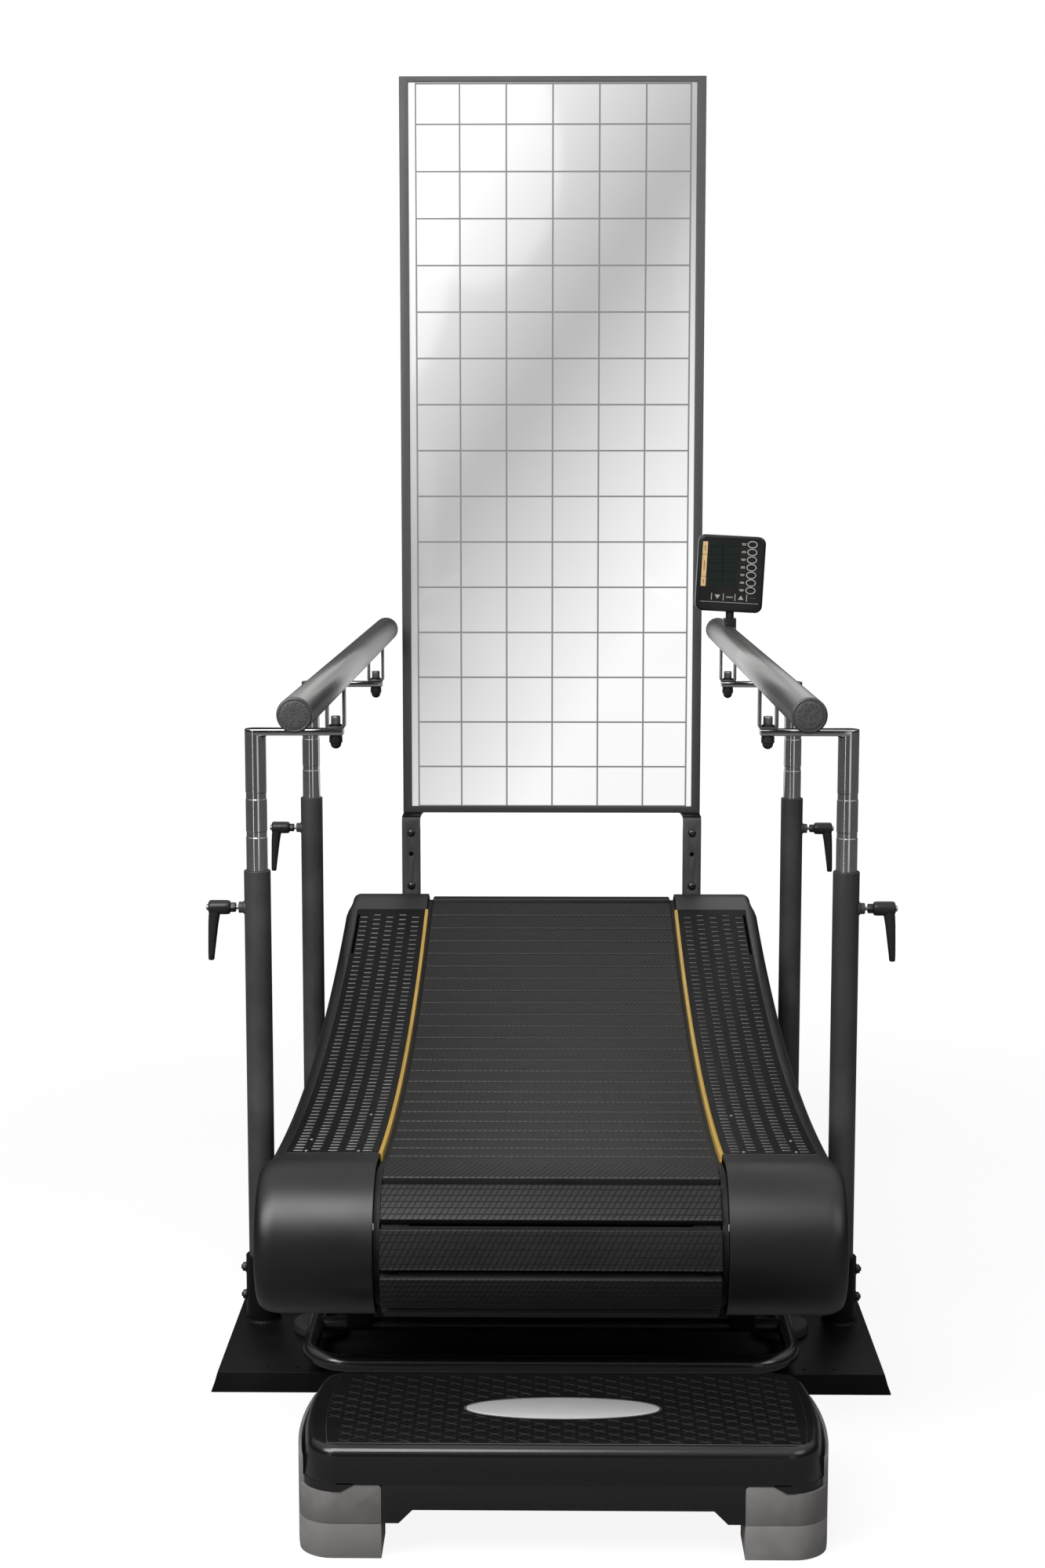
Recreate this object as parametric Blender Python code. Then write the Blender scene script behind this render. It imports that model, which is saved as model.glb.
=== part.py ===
"""A manual curved treadmill with a biofeedback mirror, two adjustable hand rails and a step.

Metres. X runs to the right as the user faces the mirror, Y runs forward to the mirror, Z is up.
Sizes along Y are written as V, measured from the middle of the four posts. MID_Y turns V into Y.
"""

import math

import bpy

# Place of the whole object along Y: the step's front and the mirror's back set the middle.
STEP_FRONT_V = -1.255
MIRROR_BACK_V = 0.825
MID_Y = -(STEP_FRONT_V + MIRROR_BACK_V) / 2

GAP = 0.0003
ROUND = 18
RAIL_ROUND = 24

# Posts and the chrome tubes that slide and turn in them.
POST_X = 0.467
POST_V = 0.440
POST_R = 0.0212
POST_WALL = 0.0036
POST_TOP = 0.769
PLATE_TOP = 0.032
TUBE_R = 0.01685
TUBE_WALL = 0.002
TUBE_BOTTOM = 0.455
TUBE_TOP = 0.995
BAND_DEPTH = 0.0007
BANDS = ((0.822, 0.832), (0.883, 0.894))
BUSH_R = 0.01715
BUSH_COLLAR = 0.020
BUSH_SPIGOT = 0.025

# Flat arm at the top of each chrome tube, and the bolt and bracket at its end.
ARM_THICK = 0.010
ARM_END_HALF = 0.0122
ARM_END_PAST = 0.0125
PIVOT_X = 0.340
BOLT_R = 0.004
BOLT_HOLE_R = 0.0045
WASHER_R = 0.010
BOLT_HEAD_R = 0.0074
BOLT_HEAD_TOP = TUBE_TOP + 0.022
CAP_R = 0.0105
DOME_R = 0.0087
CAP_BOTTOM = TUBE_TOP - 0.032
STRAP = 0.004
BRACKET_HALF = 0.0155
BRACKET_DEPTH = 0.028

# Hand rails.
RAIL_R = 0.02415
RAIL_WALL = 0.003
RAIL_Z = TUBE_TOP + 0.0815
RAIL_BACK_V = -1.055
RAIL_FRONT_V = 0.745
RAIL_CAP = 0.005
RAIL_PLUG = 0.020

# Clamp lever on the outer side of each post.
LEVER_Z = 0.709
BOSS_R = 0.009
BOSS_END = 0.030
STUD_R = 0.003
STUD_HOLE_R = 0.0035
STUD_TIP = 0.0173
LEVER_TURNED = ((0.0085, 0.0303), (0.0085, 0.041), (0.0070, 0.042), (0.0070, 0.045), (0.0115, 0.0465),
                (0.0115, 0.0765), (0.0105, 0.078), (0.0050, 0.0785), (0.0045, 0.082))
LEVER_DROP = ((0.0, 0.0685, 0.0080), (0.030, 0.0705, 0.0074), (0.060, 0.0735, 0.0064),
              (0.080, 0.0755, 0.0054), (0.085, 0.0760, 0.0040))

# Base plates with the post sockets.
PLATE_HALF_BOTTOM = 0.519
PLATE_HALF_TOP = 0.509
PLATE_V = (0.307, 0.683)
PLATE_SKIRT_LEAN = 0.002
PLATE_SHEET = 0.003
SOCKET_R = 0.0265
SOCKET_BORE = 0.0217
SOCKET_TOP = 0.140
SOCKET_BOLTS = (0.072, 0.118)
HEX_R = 0.0088
HEX_END = 0.0325

# Curved running surface: one arc about ARC, with a drum at each end.
ARC = (-0.453, 4.197)
ARC_R = 3.813
SLAT_R = 0.107
REAR_DRUM_V = -0.851
FRONT_DRUM_V = 0.630
BELT_PHASE = 0.69
PITCH_DEEP = 0.014
SLAT_UNDER = 0.001
SLAT_HALF = 0.240
SLAT_PITCH = 0.060
SLAT_GAP = 0.0035
BELT_X = (0.200, 0.230)
BELT_UNDER = 0.0035
BELT_OVER = 0.0025

# Drums and the side frame that carries them and the belt's upper run.
PULLEY_R = SLAT_R - 0.018
PULLEY_X = (0.196, 0.234)
DRUM_R = SLAT_R - 0.037
SHAFT_R = 0.0125
SHAFT_END = 0.329
BEARING_R = 0.0131
SIDE_X = (0.270, 0.330)
SIDE_DEEP = 0.060
SIDE_END_R = 0.048
STRIP_X = 0.197
STRIP_THICK = 0.010
STRIP_BACK = 0.066
UNDER_BELT = 0.0182
LUG_V = (-0.62, -0.05, 0.40)
LUG_HALF = (0.020, 0.010)

# Side covers with their treads and edge strips.
COVER_X = (0.250, 0.412)
COVER_OVER = 0.008
COVER_REAR_R = 0.110
COVER_FRONT_R = 0.108
COVER_WALL = 0.006
SHOULDER = 0.024
SHOULDER_DROP = 0.022
END_DROP = 0.0165
END_FLARE = 0.0065
END_RAMP = (0.010, 0.065)
TREAD_X = (0.2573, 0.388)
TREAD_V = (-0.755, 0.530)
TREAD_THICK = 0.003
EDGE_X = (0.2465, 0.2567)
EDGE_SHEET = 0.003
EDGE_DEEP = 0.014

# Ring on the floor plates, its cross tubes, uprights and levelling feet.
RING_R = 0.0125
RING_X = 0.3675
RING_V = 0.7325
RING_Z = 0.066
RING_CORNER = 0.0675
CROSS_V = 0.560
CROSS_R = 0.011
UPRIGHT_X = (0.280, 0.320)
UPRIGHT_HALF = 0.020
UPRIGHT_SLOT = (0.030, 0.150)
FOOT_V = 0.492
FOOT_R = 0.044
FOOT_THICK = 0.016
FOOT_STUD_R = 0.006
FOOT_STUD_HOLE = 0.0065
FOOT_STUD_TOP = 0.088

# Mirror, its tray frame and the two straps that hold it.
MIRROR_HALF = 0.310
MIRROR_Z = (0.690, 2.188)
MIRROR_V = (0.790, MIRROR_BACK_V)
MIRROR_SIDE = 0.018
MIRROR_TOP_EDGE = 0.011
MIRROR_LOW_EDGE = 0.013
MIRROR_FLOOR_V = 0.806
GLASS_FRONT_V = 0.7965
LEG_X = (0.2755, 0.3105)
LEG_V = (0.7337, 0.7397)
LEG_BOTTOM = 0.521
BAR_V = (0.7400, 0.7460)
BAR_Z = (0.060, 0.665)
LEG_BOLTS = (0.541, 0.653)
LEG_HOLE_Z = 0.6085
DOME_HEAD_R = 0.008
DOME_HEAD = 0.005

# Step in front of the treadmill.
STEP_X = 0.0165
STEP_HALF = 0.3430
STEP_BOW = 0.016
STEP_FLARE = 0.0045
STEP_BACK_V = -0.975
STEP_TOP = 0.150
STEP_SPLIT = 0.100
STEP_SHOULDER = 0.135
STEP_CORNER = 0.038
STEP_WALL = 0.004
STEP_SKIRT_Z = 0.066
STEP_TAB_Z = 0.048
STEP_TAB = 0.022
RISER_IN = 0.235
RISER_SEAM = 0.047
RISER_DEEP = 0.077
RISER_BRIDGE = 0.016
RISER_FLARE = 0.0095
RISER_CHEEK = (0.0042, 0.110, 0.126)

# Console on the right rail.
CONSOLE_X = 0.346
CONSOLE_V = 0.490
CONSOLE_Z = RAIL_Z + 0.1245
CONSOLE_HALF = (0.065, 0.0735)
CONSOLE_THICK = 0.032
CONSOLE_TURN = -3.0
OVERLAY_THICK = 0.0015
STEM_R = 0.008
CLAMP_HALF = 0.012
CLAMP_RISE = 0.014

COLOURS = {
    "satin_black": (0.012, 0.012, 0.013),
    "black_plastic": (0.015, 0.015, 0.016),
    "rubber": (0.018, 0.018, 0.020),
    "chrome": (0.75, 0.76, 0.78),
    "aluminium": (0.45, 0.46, 0.47),
    "grey_plastic": (0.19, 0.18, 0.17),
    "yellow": (0.62, 0.42, 0.08),
    "glass": (0.80, 0.82, 0.84),
    "white_plastic": (0.80, 0.80, 0.78),
}


def fresh_scene():
    for item in list(bpy.data.objects):
        bpy.data.objects.remove(item, do_unlink=True)
    scene = bpy.context.scene
    parts = bpy.data.collections.new("biofeedback_treadmill")
    cutters = bpy.data.collections.new("cutters")
    cutters.hide_render = True
    scene.collection.children.link(parts)
    scene.collection.children.link(cutters)
    return parts, cutters


PARTS, CUTTERS = fresh_scene()


def material(name):
    """One Principled material for a piece, by the name of its finish."""
    made = bpy.data.materials.get(name) or bpy.data.materials.new(name)
    made.use_nodes = True
    shader = made.node_tree.nodes["Principled BSDF"]
    shader.inputs["Base Color"].default_value = (*COLOURS[name], 1.0)
    shader.inputs["Metallic"].default_value = 1.0 if name in ("chrome", "aluminium") else 0.0
    shader.inputs["Roughness"].default_value = 0.15 if name in ("chrome", "glass") else 0.5
    made.diffuse_color = (*COLOURS[name], 1.0)
    return made


def volume(points, faces):
    total = 0.0
    for face in faces:
        a = points[face[0]]
        for i in range(1, len(face) - 1):
            b, c = points[face[i]], points[face[i + 1]]
            total += (a[0] * (b[1] * c[2] - b[2] * c[1]) - a[1] * (b[0] * c[2] - b[2] * c[0])
                      + a[2] * (b[0] * c[1] - b[1] * c[0]))
    return total


def make(name, points, faces, finish=None, pivot=(0.0, 0.0, 0.0)):
    """An object from points in world metres. With no finish it is a helper for a Boolean."""
    if volume(points, faces) < 0:
        faces = [tuple(reversed(face)) for face in faces]
    mesh = bpy.data.meshes.new(name)
    local = [tuple(p[i] - pivot[i] for i in range(3)) for p in points]
    mesh.from_pydata(local, [], faces)
    mesh.update()
    made = bpy.data.objects.new(name, mesh)
    made.location = pivot
    if finish:
        PARTS.objects.link(made)
        mesh.materials.append(material(finish))
    else:
        CUTTERS.objects.link(made)
        made.hide_render = True
        made.display_type = "WIRE"
    return made


def skin(name, loops, finish=None, closed=False, pivot=(0.0, 0.0, 0.0)):
    """A closed surface through loops of the same number of points."""
    count = len(loops[0])
    points = [p for loop in loops for p in loop]
    faces = []
    for k in range(len(loops) if closed else len(loops) - 1):
        near, far = k * count, (k + 1) % len(loops) * count
        for i in range(count):
            j = (i + 1) % count
            faces.append((near + i, near + j, far + j, far + i))
    if not closed:
        faces.append(tuple(reversed(range(count))))
        faces.append(tuple(range(len(points) - count, len(points))))
    return make(name, points, faces, finish, pivot)


def prism(name, outline, axis, low, high, finish=None, pivot=(0.0, 0.0, 0.0)):
    """An outline of (a, b) pairs pushed along an axis: X takes (y, z), Y takes (x, z), Z takes (x, y)."""
    def at(a, b, h):
        return {"X": (h, a, b), "Y": (a, h, b), "Z": (a, b, h)}[axis]
    return skin(name, [[at(a, b, h) for a, b in outline] for h in (low, high)], finish, pivot=pivot)


def box(name, low, high, finish=None):
    outline = [(low[0], low[1]), (high[0], low[1]), (high[0], high[1]), (low[0], high[1])]
    return prism(name, outline, "Z", low[2], high[2], finish)


def turned(name, profile, axis, centre, sides=ROUND, finish=None, closed=False, pivot=(0.0, 0.0, 0.0)):
    """A profile of (radius, distance along the axis) turned about an axis through centre."""
    loops = []
    for radius, along in profile:
        loop = []
        for k in range(sides):
            angle = 2 * math.pi * (k + 0.5) / sides
            a, b = radius * math.cos(angle), radius * math.sin(angle)
            x, y, z = {"X": (along, a, b), "Y": (a, along, b), "Z": (a, b, along)}[axis]
            loop.append((centre[0] + x, centre[1] + y, centre[2] + z))
        loops.append(loop)
    return skin(name, loops, finish, closed, pivot)


def boolean(target, operation, *helpers):
    for helper in helpers:
        modifier = target.modifiers.new(helper.name, "BOOLEAN")
        modifier.operation = operation
        modifier.solver = "EXACT"
        modifier.object = helper
    return target


def unite(target, *helpers):
    return boolean(target, "UNION", *helpers)


def cut(target, *helpers):
    return boolean(target, "DIFFERENCE", *helpers)


def rounded(half_x, half_y, radius, steps=4):
    """Outline of a rectangle about 0, 0 with round corners."""
    outline = []
    for corner, (sx, sy) in enumerate(((1, 1), (-1, 1), (-1, -1), (1, -1))):
        for k in range(steps + 1):
            angle = math.pi / 2 * (corner + k / steps)
            outline.append((sx * (half_x - radius) + radius * math.cos(angle),
                            sy * (half_y - radius) + radius * math.sin(angle)))
    return outline


def post(name, x, y, out):
    """A post with its lever boss on the outer side, bored for the lever's stud."""
    wall = POST_R - POST_WALL
    low, high = PLATE_TOP + GAP, POST_TOP
    ring = [(POST_R, low), (POST_R, high), (wall, high), (wall, low)]
    made = turned(name, ring, "Z", (x, y, 0), finish="satin_black", closed=True)
    start, end = out * 0.0183, out * BOSS_END
    boss = turned(name + "_boss", [(BOSS_R, start), (BOSS_R, end)], "X", (x, y, LEVER_Z), 16)
    bore = turned(name + "_bore", [(STUD_HOLE_R, out * 0.014), (STUD_HOLE_R, out * 0.035)], "X",
                  (x, y, LEVER_Z), 12)
    return cut(unite(made, boss), bore)


def bush(name, x, y):
    """Guide plug at the foot of a chrome tube: a collar below the tube and a spigot up inside it."""
    spigot = TUBE_R - TUBE_WALL - 0.0004
    top = TUBE_BOTTOM - GAP
    profile = [(BUSH_R, top - BUSH_COLLAR), (BUSH_R, top), (spigot, top), (spigot, top + BUSH_SPIGOT)]
    return turned(name, profile, "Z", (x, y, 0), finish="white_plastic", pivot=(x, y, top))


def chrome_tube(name, x, y, inward):
    """The sliding tube with its two clamping bands, closed by the flat arm that carries the rail."""
    bore = TUBE_R - TUBE_WALL
    outside = [(TUBE_R, TUBE_BOTTOM)]
    for low, high in BANDS:
        outside += [(TUBE_R, low), (TUBE_R - BAND_DEPTH, low + 0.0004),
                    (TUBE_R - BAND_DEPTH, high - 0.0004), (TUBE_R, high)]
    joint = TUBE_TOP - ARM_THICK / 2
    outside += [(TUBE_R, joint), (bore, joint), (bore, TUBE_BOTTOM)]
    made = turned(name, outside, "Z", (x, y, 0), finish="chrome", closed=True, pivot=(x, y, TUBE_TOP))
    reach = POST_X - PIVOT_X + ARM_END_PAST
    outline = [(x + inward * reach, y + ARM_END_HALF), (x + inward * reach, y - ARM_END_HALF)]
    radius = TUBE_R + 0.0001
    for k in range(13):
        angle = math.radians(-90 + 15 * k)
        outline.append((x - inward * radius * math.cos(angle), y + radius * math.sin(angle)))
    arm = prism(name + "_arm", outline, "Z", TUBE_TOP - ARM_THICK, TUBE_TOP)
    hole = turned(name + "_hole", [(BOLT_HOLE_R, 0.9), (BOLT_HOLE_R, 1.1)], "Z",
                  (x + inward * (POST_X - PIVOT_X), y, 0), 12)
    return cut(unite(made, arm), hole)


def pivot_bolt(name, x, y):
    """Cap screw, washers and cap nut in one piece, down through the bracket and the arm."""
    over = TUBE_TOP + GAP + STRAP + GAP
    under = TUBE_TOP - ARM_THICK - GAP
    profile = [(0.0040, CAP_BOTTOM), (0.0072, CAP_BOTTOM + 0.0025), (DOME_R, CAP_BOTTOM + 0.008),
               (DOME_R, CAP_BOTTOM + 0.0095), (CAP_R, CAP_BOTTOM + 0.0105), (CAP_R, under - 0.002),
               (WASHER_R, under - 0.002), (WASHER_R, under), (BOLT_R, under), (BOLT_R, over),
               (WASHER_R, over), (WASHER_R, over + 0.002), (0.0062, over + 0.002),
               (0.0062, BOLT_HEAD_TOP - 0.010), (BOLT_HEAD_R, BOLT_HEAD_TOP - 0.010),
               (BOLT_HEAD_R, BOLT_HEAD_TOP - 0.0008), (BOLT_HEAD_R - 0.0008, BOLT_HEAD_TOP),
               (0.0034, BOLT_HEAD_TOP), (0.0030, BOLT_HEAD_TOP - 0.004)]
    return turned(name, profile, "Z", (x, y, 0), 12, "satin_black", pivot=(x, y, TUBE_TOP))


def bracket(name, x, y):
    """U strap under the rail, its legs cut to the rail's round."""
    low, floor, tall = TUBE_TOP + GAP, TUBE_TOP + GAP + STRAP, RAIL_Z - 0.008
    wide, thin = BRACKET_HALF, BRACKET_HALF - STRAP
    outline = [(x - wide, low + 0.001), (x - wide + 0.001, low), (x + wide - 0.001, low), (x + wide, low + 0.001),
               (x + wide, tall), (x + thin, tall), (x + thin, floor + 0.001), (x + thin - 0.001, floor),
               (x - thin + 0.001, floor), (x - thin, floor + 0.001), (x - thin, tall), (x - wide, tall)]
    half = BRACKET_DEPTH / 2
    made = prism(name, outline, "Y", y - half, y + half, "satin_black", pivot=(x, y, TUBE_TOP))
    seat = turned(name + "_seat", [(RAIL_R + GAP, y - BRACKET_DEPTH), (RAIL_R + GAP, y + BRACKET_DEPTH)], "Y",
                  (x, 0, RAIL_Z), RAIL_ROUND)
    hole = turned(name + "_hole", [(BOLT_HOLE_R, low - 0.01), (BOLT_HOLE_R, floor + 0.01)], "Z", (x, y, 0), 12)
    return cut(made, seat, hole)


def lever(name, x, y, out):
    """Clamp lever: stud, collar, hub and end screw turned about X, with a tapered handle hanging down."""
    profile = [(STUD_R - 0.0005, out * STUD_TIP), (STUD_R, out * (STUD_TIP + 0.0008)), (STUD_R, out * 0.0303)]
    profile += [(radius, out * along) for radius, along in LEVER_TURNED]
    made = turned(name, profile, "X", (x, y, LEVER_Z), 16, "black_plastic", pivot=(x, y, LEVER_Z))
    loops = []
    for drop, along, half in LEVER_DROP:
        corner = half * 0.4
        ring = [(half, corner), (corner, half), (-corner, half), (-half, corner),
                (-half, -corner), (-corner, -half), (corner, -half), (half, -corner)]
        loops.append([(x + out * along + a, y + b, LEVER_Z - drop) for a, b in ring])
    return unite(made, skin(name + "_handle", loops))


def rail_tube(name, x):
    low, high = RAIL_BACK_V + MID_Y + RAIL_CAP + GAP, RAIL_FRONT_V + MID_Y - RAIL_CAP - GAP
    bore = RAIL_R - RAIL_WALL
    ring = [(RAIL_R, low), (RAIL_R, high), (bore, high), (bore, low)]
    pivot = (x, MID_Y - POST_V, TUBE_TOP)
    return turned(name, ring, "Y", (x, 0, RAIL_Z), RAIL_ROUND, "aluminium", True, pivot)


def rail_cap(name, x, end):
    """End cap: a shallow domed flange with a plug inside the rail. end is 1 in front and -1 behind."""
    tip = (RAIL_FRONT_V if end > 0 else RAIL_BACK_V) + MID_Y
    plug = RAIL_R - RAIL_WALL - 0.0004
    profile = [(plug, tip - end * (RAIL_CAP + RAIL_PLUG)), (plug, tip - end * RAIL_CAP),
               (RAIL_R, tip - end * RAIL_CAP), (RAIL_R, tip - end * 0.0018),
               (RAIL_R - 0.0012, tip - end * 0.0006), (RAIL_R - 0.004, tip)]
    pivot = (x, MID_Y - POST_V, TUBE_TOP)
    return turned(name, profile, "Y", (x, 0, RAIL_Z), RAIL_ROUND, "black_plastic", pivot=pivot)


def base_plate(name, end):
    """Folded plate open underneath, with a post socket and two clamp bolts at each end."""
    near, far = PLATE_V
    y0, y1 = sorted((MID_Y + end * near, MID_Y + end * far))
    wide = PLATE_HALF_BOTTOM - PLATE_HALF_TOP
    loops = []
    for inset, z in ((0, 0), (1, PLATE_TOP)):
        loops.append((wide * inset, PLATE_SKIRT_LEAN * inset, z))
    for inset, z in ((1 - PLATE_SHEET / PLATE_TOP, PLATE_TOP - PLATE_SHEET), (0, 0)):
        loops.append((wide * inset + PLATE_SHEET, PLATE_SKIRT_LEAN * inset + PLATE_SHEET, z))
    rings = []
    for dx, dy, z in (loops[2], loops[3], loops[0], loops[1]):
        a, lo, hi = PLATE_HALF_BOTTOM - dx, y0 + dy, y1 - dy
        rings.append([(-a, lo, z), (a, lo, z), (a, hi, z), (-a, hi, z)])
    made = skin(name, rings, "satin_black")
    y = MID_Y + end * POST_V
    for side in (-1, 1):
        x = side * POST_X
        sleeve = [(SOCKET_R, PLATE_TOP - 0.001), (SOCKET_R, SOCKET_TOP), (SOCKET_BORE, SOCKET_TOP),
                  (SOCKET_BORE, PLATE_TOP - 0.001)]
        unite(made, turned(f"{name}_sleeve{side}", sleeve, "Z", (x, y, 0), closed=True))
        for z in SOCKET_BOLTS:
            head = [(HEX_R, side * (SOCKET_R - 0.0015)), (HEX_R, side * HEX_END)]
            unite(made, turned(f"{name}_bolt{side}_{z}", head, "X", (x, y, z), 6))
    return made


for side_name, side in (("left", -1), ("right", 1)):
    rail_tube(f"{side_name}_rail", side * PIVOT_X)
    for end_name, end in (("rear", -1), ("front", 1)):
        where = f"{side_name}_{end_name}"
        post_x, post_y = side * POST_X, MID_Y + end * POST_V
        post(where + "_post", post_x, post_y, side)
        bush(where + "_bush", post_x, post_y)
        chrome_tube(where + "_tube", post_x, post_y, -side)
        pivot_bolt(where + "_pivot_bolt", side * PIVOT_X, post_y)
        bracket(where + "_bracket", side * PIVOT_X, post_y)
        lever(where + "_lever", post_x, post_y, side)
        rail_cap(where + "_rail_cap", side * PIVOT_X, end)
base_plate("rear_base_plate", -1)
base_plate("front_base_plate", 1)


def arc_z(radius, v):
    """Height of the lower side of a circle about ARC."""
    return ARC[1] - math.sqrt(radius ** 2 - (v - ARC[0]) ** 2)


def arc_point(radius, turn):
    return ARC[0] + radius * math.sin(turn), ARC[1] - radius * math.cos(turn)


def turn_at(v, radius=ARC_R):
    return math.asin((v - ARC[0]) / radius)


def end_circles(over, rear_r, front_r):
    """Rear and front circles that touch the arc from below, `over` above the slats, with the turns to them."""
    rear_turn = turn_at(REAR_DRUM_V, ARC_R + SLAT_R)
    front_turn = turn_at(FRONT_DRUM_V, ARC_R + SLAT_R)
    rear = arc_point(ARC_R - over + rear_r, rear_turn)
    front = arc_point(ARC_R - over + front_r, front_turn)
    return rear, front, rear_turn, front_turn


def loop_round(over, rear_r, front_r, inset, arc_steps, end_steps):
    """Clockwise outline: the arc on top, the front circle, a straight underside and the rear circle."""
    rear, front, rear_turn, front_turn = end_circles(over, rear_r, front_r)
    outline = []
    for k in range(arc_steps + 1):
        outline.append(arc_point(ARC_R - over + inset, rear_turn + (front_turn - rear_turn) * k / arc_steps))
    across, down = front[0] - rear[0], front[1] - rear[1]
    span = math.hypot(across, down)
    under = math.atan2(down, across) - math.acos((rear_r - front_r) / span)
    for centre, radius, start, stop in ((front, front_r, math.pi / 2 + front_turn, under),
                                        (rear, rear_r, under, rear_turn - 1.5 * math.pi)):
        step = (stop - start) / end_steps
        reach = (radius - inset) / math.cos(step / 2)
        if centre is rear:
            outline.append((rear[0] + (radius - inset) * math.cos(start), rear[1] + (radius - inset) * math.sin(start)))
        for k in range(end_steps):
            angle = start + step * (k + 0.5)
            outline.append((centre[0] + reach * math.cos(angle), centre[1] + reach * math.sin(angle)))
        if centre is front:
            outline.append((front[0] + (radius - inset) * math.cos(stop), front[1] + (radius - inset) * math.sin(stop)))
    return [(v + MID_Y, z) for v, z in outline]


def pitch_place(distance):
    """Point and outward direction on the belt's pitch line, clockwise from the rear end of the upper run."""
    wrap_r, run_r = SLAT_R - PITCH_DEEP, ARC_R + PITCH_DEEP
    rear, front, rear_turn, front_turn = end_circles(0.0, SLAT_R, SLAT_R)
    upper = run_r * (front_turn - rear_turn)
    across, down = front[0] - rear[0], front[1] - rear[1]
    lower = math.hypot(across, down)
    under = math.atan2(down, across) - math.pi / 2
    front_wrap = wrap_r * (math.pi / 2 + front_turn - under)
    rear_wrap = wrap_r * (under - rear_turn + 1.5 * math.pi)
    total = upper + front_wrap + lower + rear_wrap
    distance %= total
    if distance < upper:
        turn = rear_turn + distance / run_r
        v, z = arc_point(run_r, turn)
        return v, z, -math.sin(turn), math.cos(turn), total
    distance -= upper
    if distance < front_wrap:
        angle, centre = math.pi / 2 + front_turn - distance / wrap_r, front
    elif distance < front_wrap + lower:
        part = (distance - front_wrap) / lower
        centre = (front[0] + (rear[0] - front[0]) * part, front[1] + (rear[1] - front[1]) * part)
        angle = under
    else:
        angle, centre = under - (distance - front_wrap - lower) / wrap_r, rear
    out_v, out_z = math.cos(angle), math.sin(angle)
    return centre[0] + wrap_r * out_v, centre[1] + wrap_r * out_z, out_v, out_z, total


def slat_belt():
    """Rubber faced slats all the way round, held by two toothed belts."""
    total = pitch_place(0.0)[4]
    count = round(total / SLAT_PITCH)
    half = (total / count - SLAT_GAP) / 2
    points, faces = [], []
    for k in range(count):
        v, z, out_v, out_z, _ = pitch_place(total * (k + BELT_PHASE) / count)
        start = len(points)
        for x in (-SLAT_HALF, SLAT_HALF):
            for along, rise in ((-half, SLAT_UNDER), (half, SLAT_UNDER), (half, PITCH_DEEP), (-half, PITCH_DEEP)):
                points.append((x, v + MID_Y + along * out_z + rise * out_v, z - along * out_v + rise * out_z))
        for face in ((0, 1, 2, 3), (7, 6, 5, 4), (0, 4, 5, 1), (1, 5, 6, 2), (2, 6, 7, 3), (3, 7, 4, 0)):
            faces.append(tuple(start + i for i in face))
    made = make("slat_belt", points, faces, "rubber")
    for side in (-1, 1):
        loops = []
        for x, rise in ((BELT_X[0], BELT_OVER), (BELT_X[1], BELT_OVER), (BELT_X[1], -BELT_UNDER), (BELT_X[0], -BELT_UNDER)):
            outline = loop_round(-PITCH_DEEP, SLAT_R - PITCH_DEEP, SLAT_R - PITCH_DEEP, -rise, 14, 10)
            loops.append([(side * x, y, z) for y, z in outline])
        unite(made, skin(f"slat_belt_ring{side}", loops, closed=True))
    return made


def drum(name, v):
    """Hollow looking drum: a tube between two toothed pulleys on one shaft."""
    y, z = v + MID_Y, arc_z(ARC_R + SLAT_R, v)
    half = [(DRUM_R, PULLEY_X[0]), (PULLEY_R, PULLEY_X[0]), (PULLEY_R, PULLEY_X[1]),
            (SHAFT_R, PULLEY_X[1]), (SHAFT_R, SHAFT_END)]
    profile = [(radius, -along) for radius, along in reversed(half)] + half
    return turned(name, profile, "X", (0, y, z), finish="aluminium", pivot=(0, y, z))


def arc_bar(name, x_low, x_high, deep_low, deep_high, v_low, v_high, steps, finish=None):
    """A bar that follows the running surface, between two depths under the slats' outer face."""
    first, last = turn_at(v_low), turn_at(v_high)
    turns = [first + (last - first) * k / steps for k in range(steps + 1)]
    outline = [arc_point(ARC_R + deep_low, turn) for turn in turns]
    outline += [arc_point(ARC_R + deep_high, turn) for turn in reversed(turns)]
    return prism(name, [(v + MID_Y, z) for v, z in outline], "X", x_low, x_high, finish)


def side_frame(name, side):
    """Curved side beam with a bearing plate at each drum and a ledge under the toothed belt and lugs for the cover."""
    near, far = sorted((side * SIDE_X[0], side * SIDE_X[1]))
    top = UNDER_BELT + 0.001
    made = arc_bar(name, near, far, top, top + SIDE_DEEP, REAR_DRUM_V, FRONT_DRUM_V, 16, "satin_black")
    inner = sorted((side * STRIP_X, side * (SIDE_X[0] + 0.002)))
    strip_v = (REAR_DRUM_V + 0.010 + STRIP_BACK, FRONT_DRUM_V - 0.026 - STRIP_BACK)
    unite(made, arc_bar(name + "_strip", *inner, UNDER_BELT, UNDER_BELT + STRIP_THICK, *strip_v, 18))
    for v in (REAR_DRUM_V, FRONT_DRUM_V):
        centre = (0, v + MID_Y, arc_z(ARC_R + SLAT_R, v))
        unite(made, turned(f"{name}_plate{v}", [(SIDE_END_R, near), (SIDE_END_R, far)], "X", centre))
        cut(made, turned(f"{name}_bore{v}", [(BEARING_R, near - 0.01), (BEARING_R, far + 0.01)], "X", centre))
    long, tall = LUG_HALF
    lug_x = sorted((side * (SIDE_X[1] - 0.002), side * (COVER_X[1] - COVER_WALL - GAP)))
    for v in LUG_V:
        z = arc_z(ARC_R + top + SIDE_DEEP / 2, v)
        unite(made, box(f"{name}_lug{v}", (lug_x[0], v + MID_Y - long, z - tall), (lug_x[1], v + MID_Y + long, z + tall)))
    return made


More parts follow.
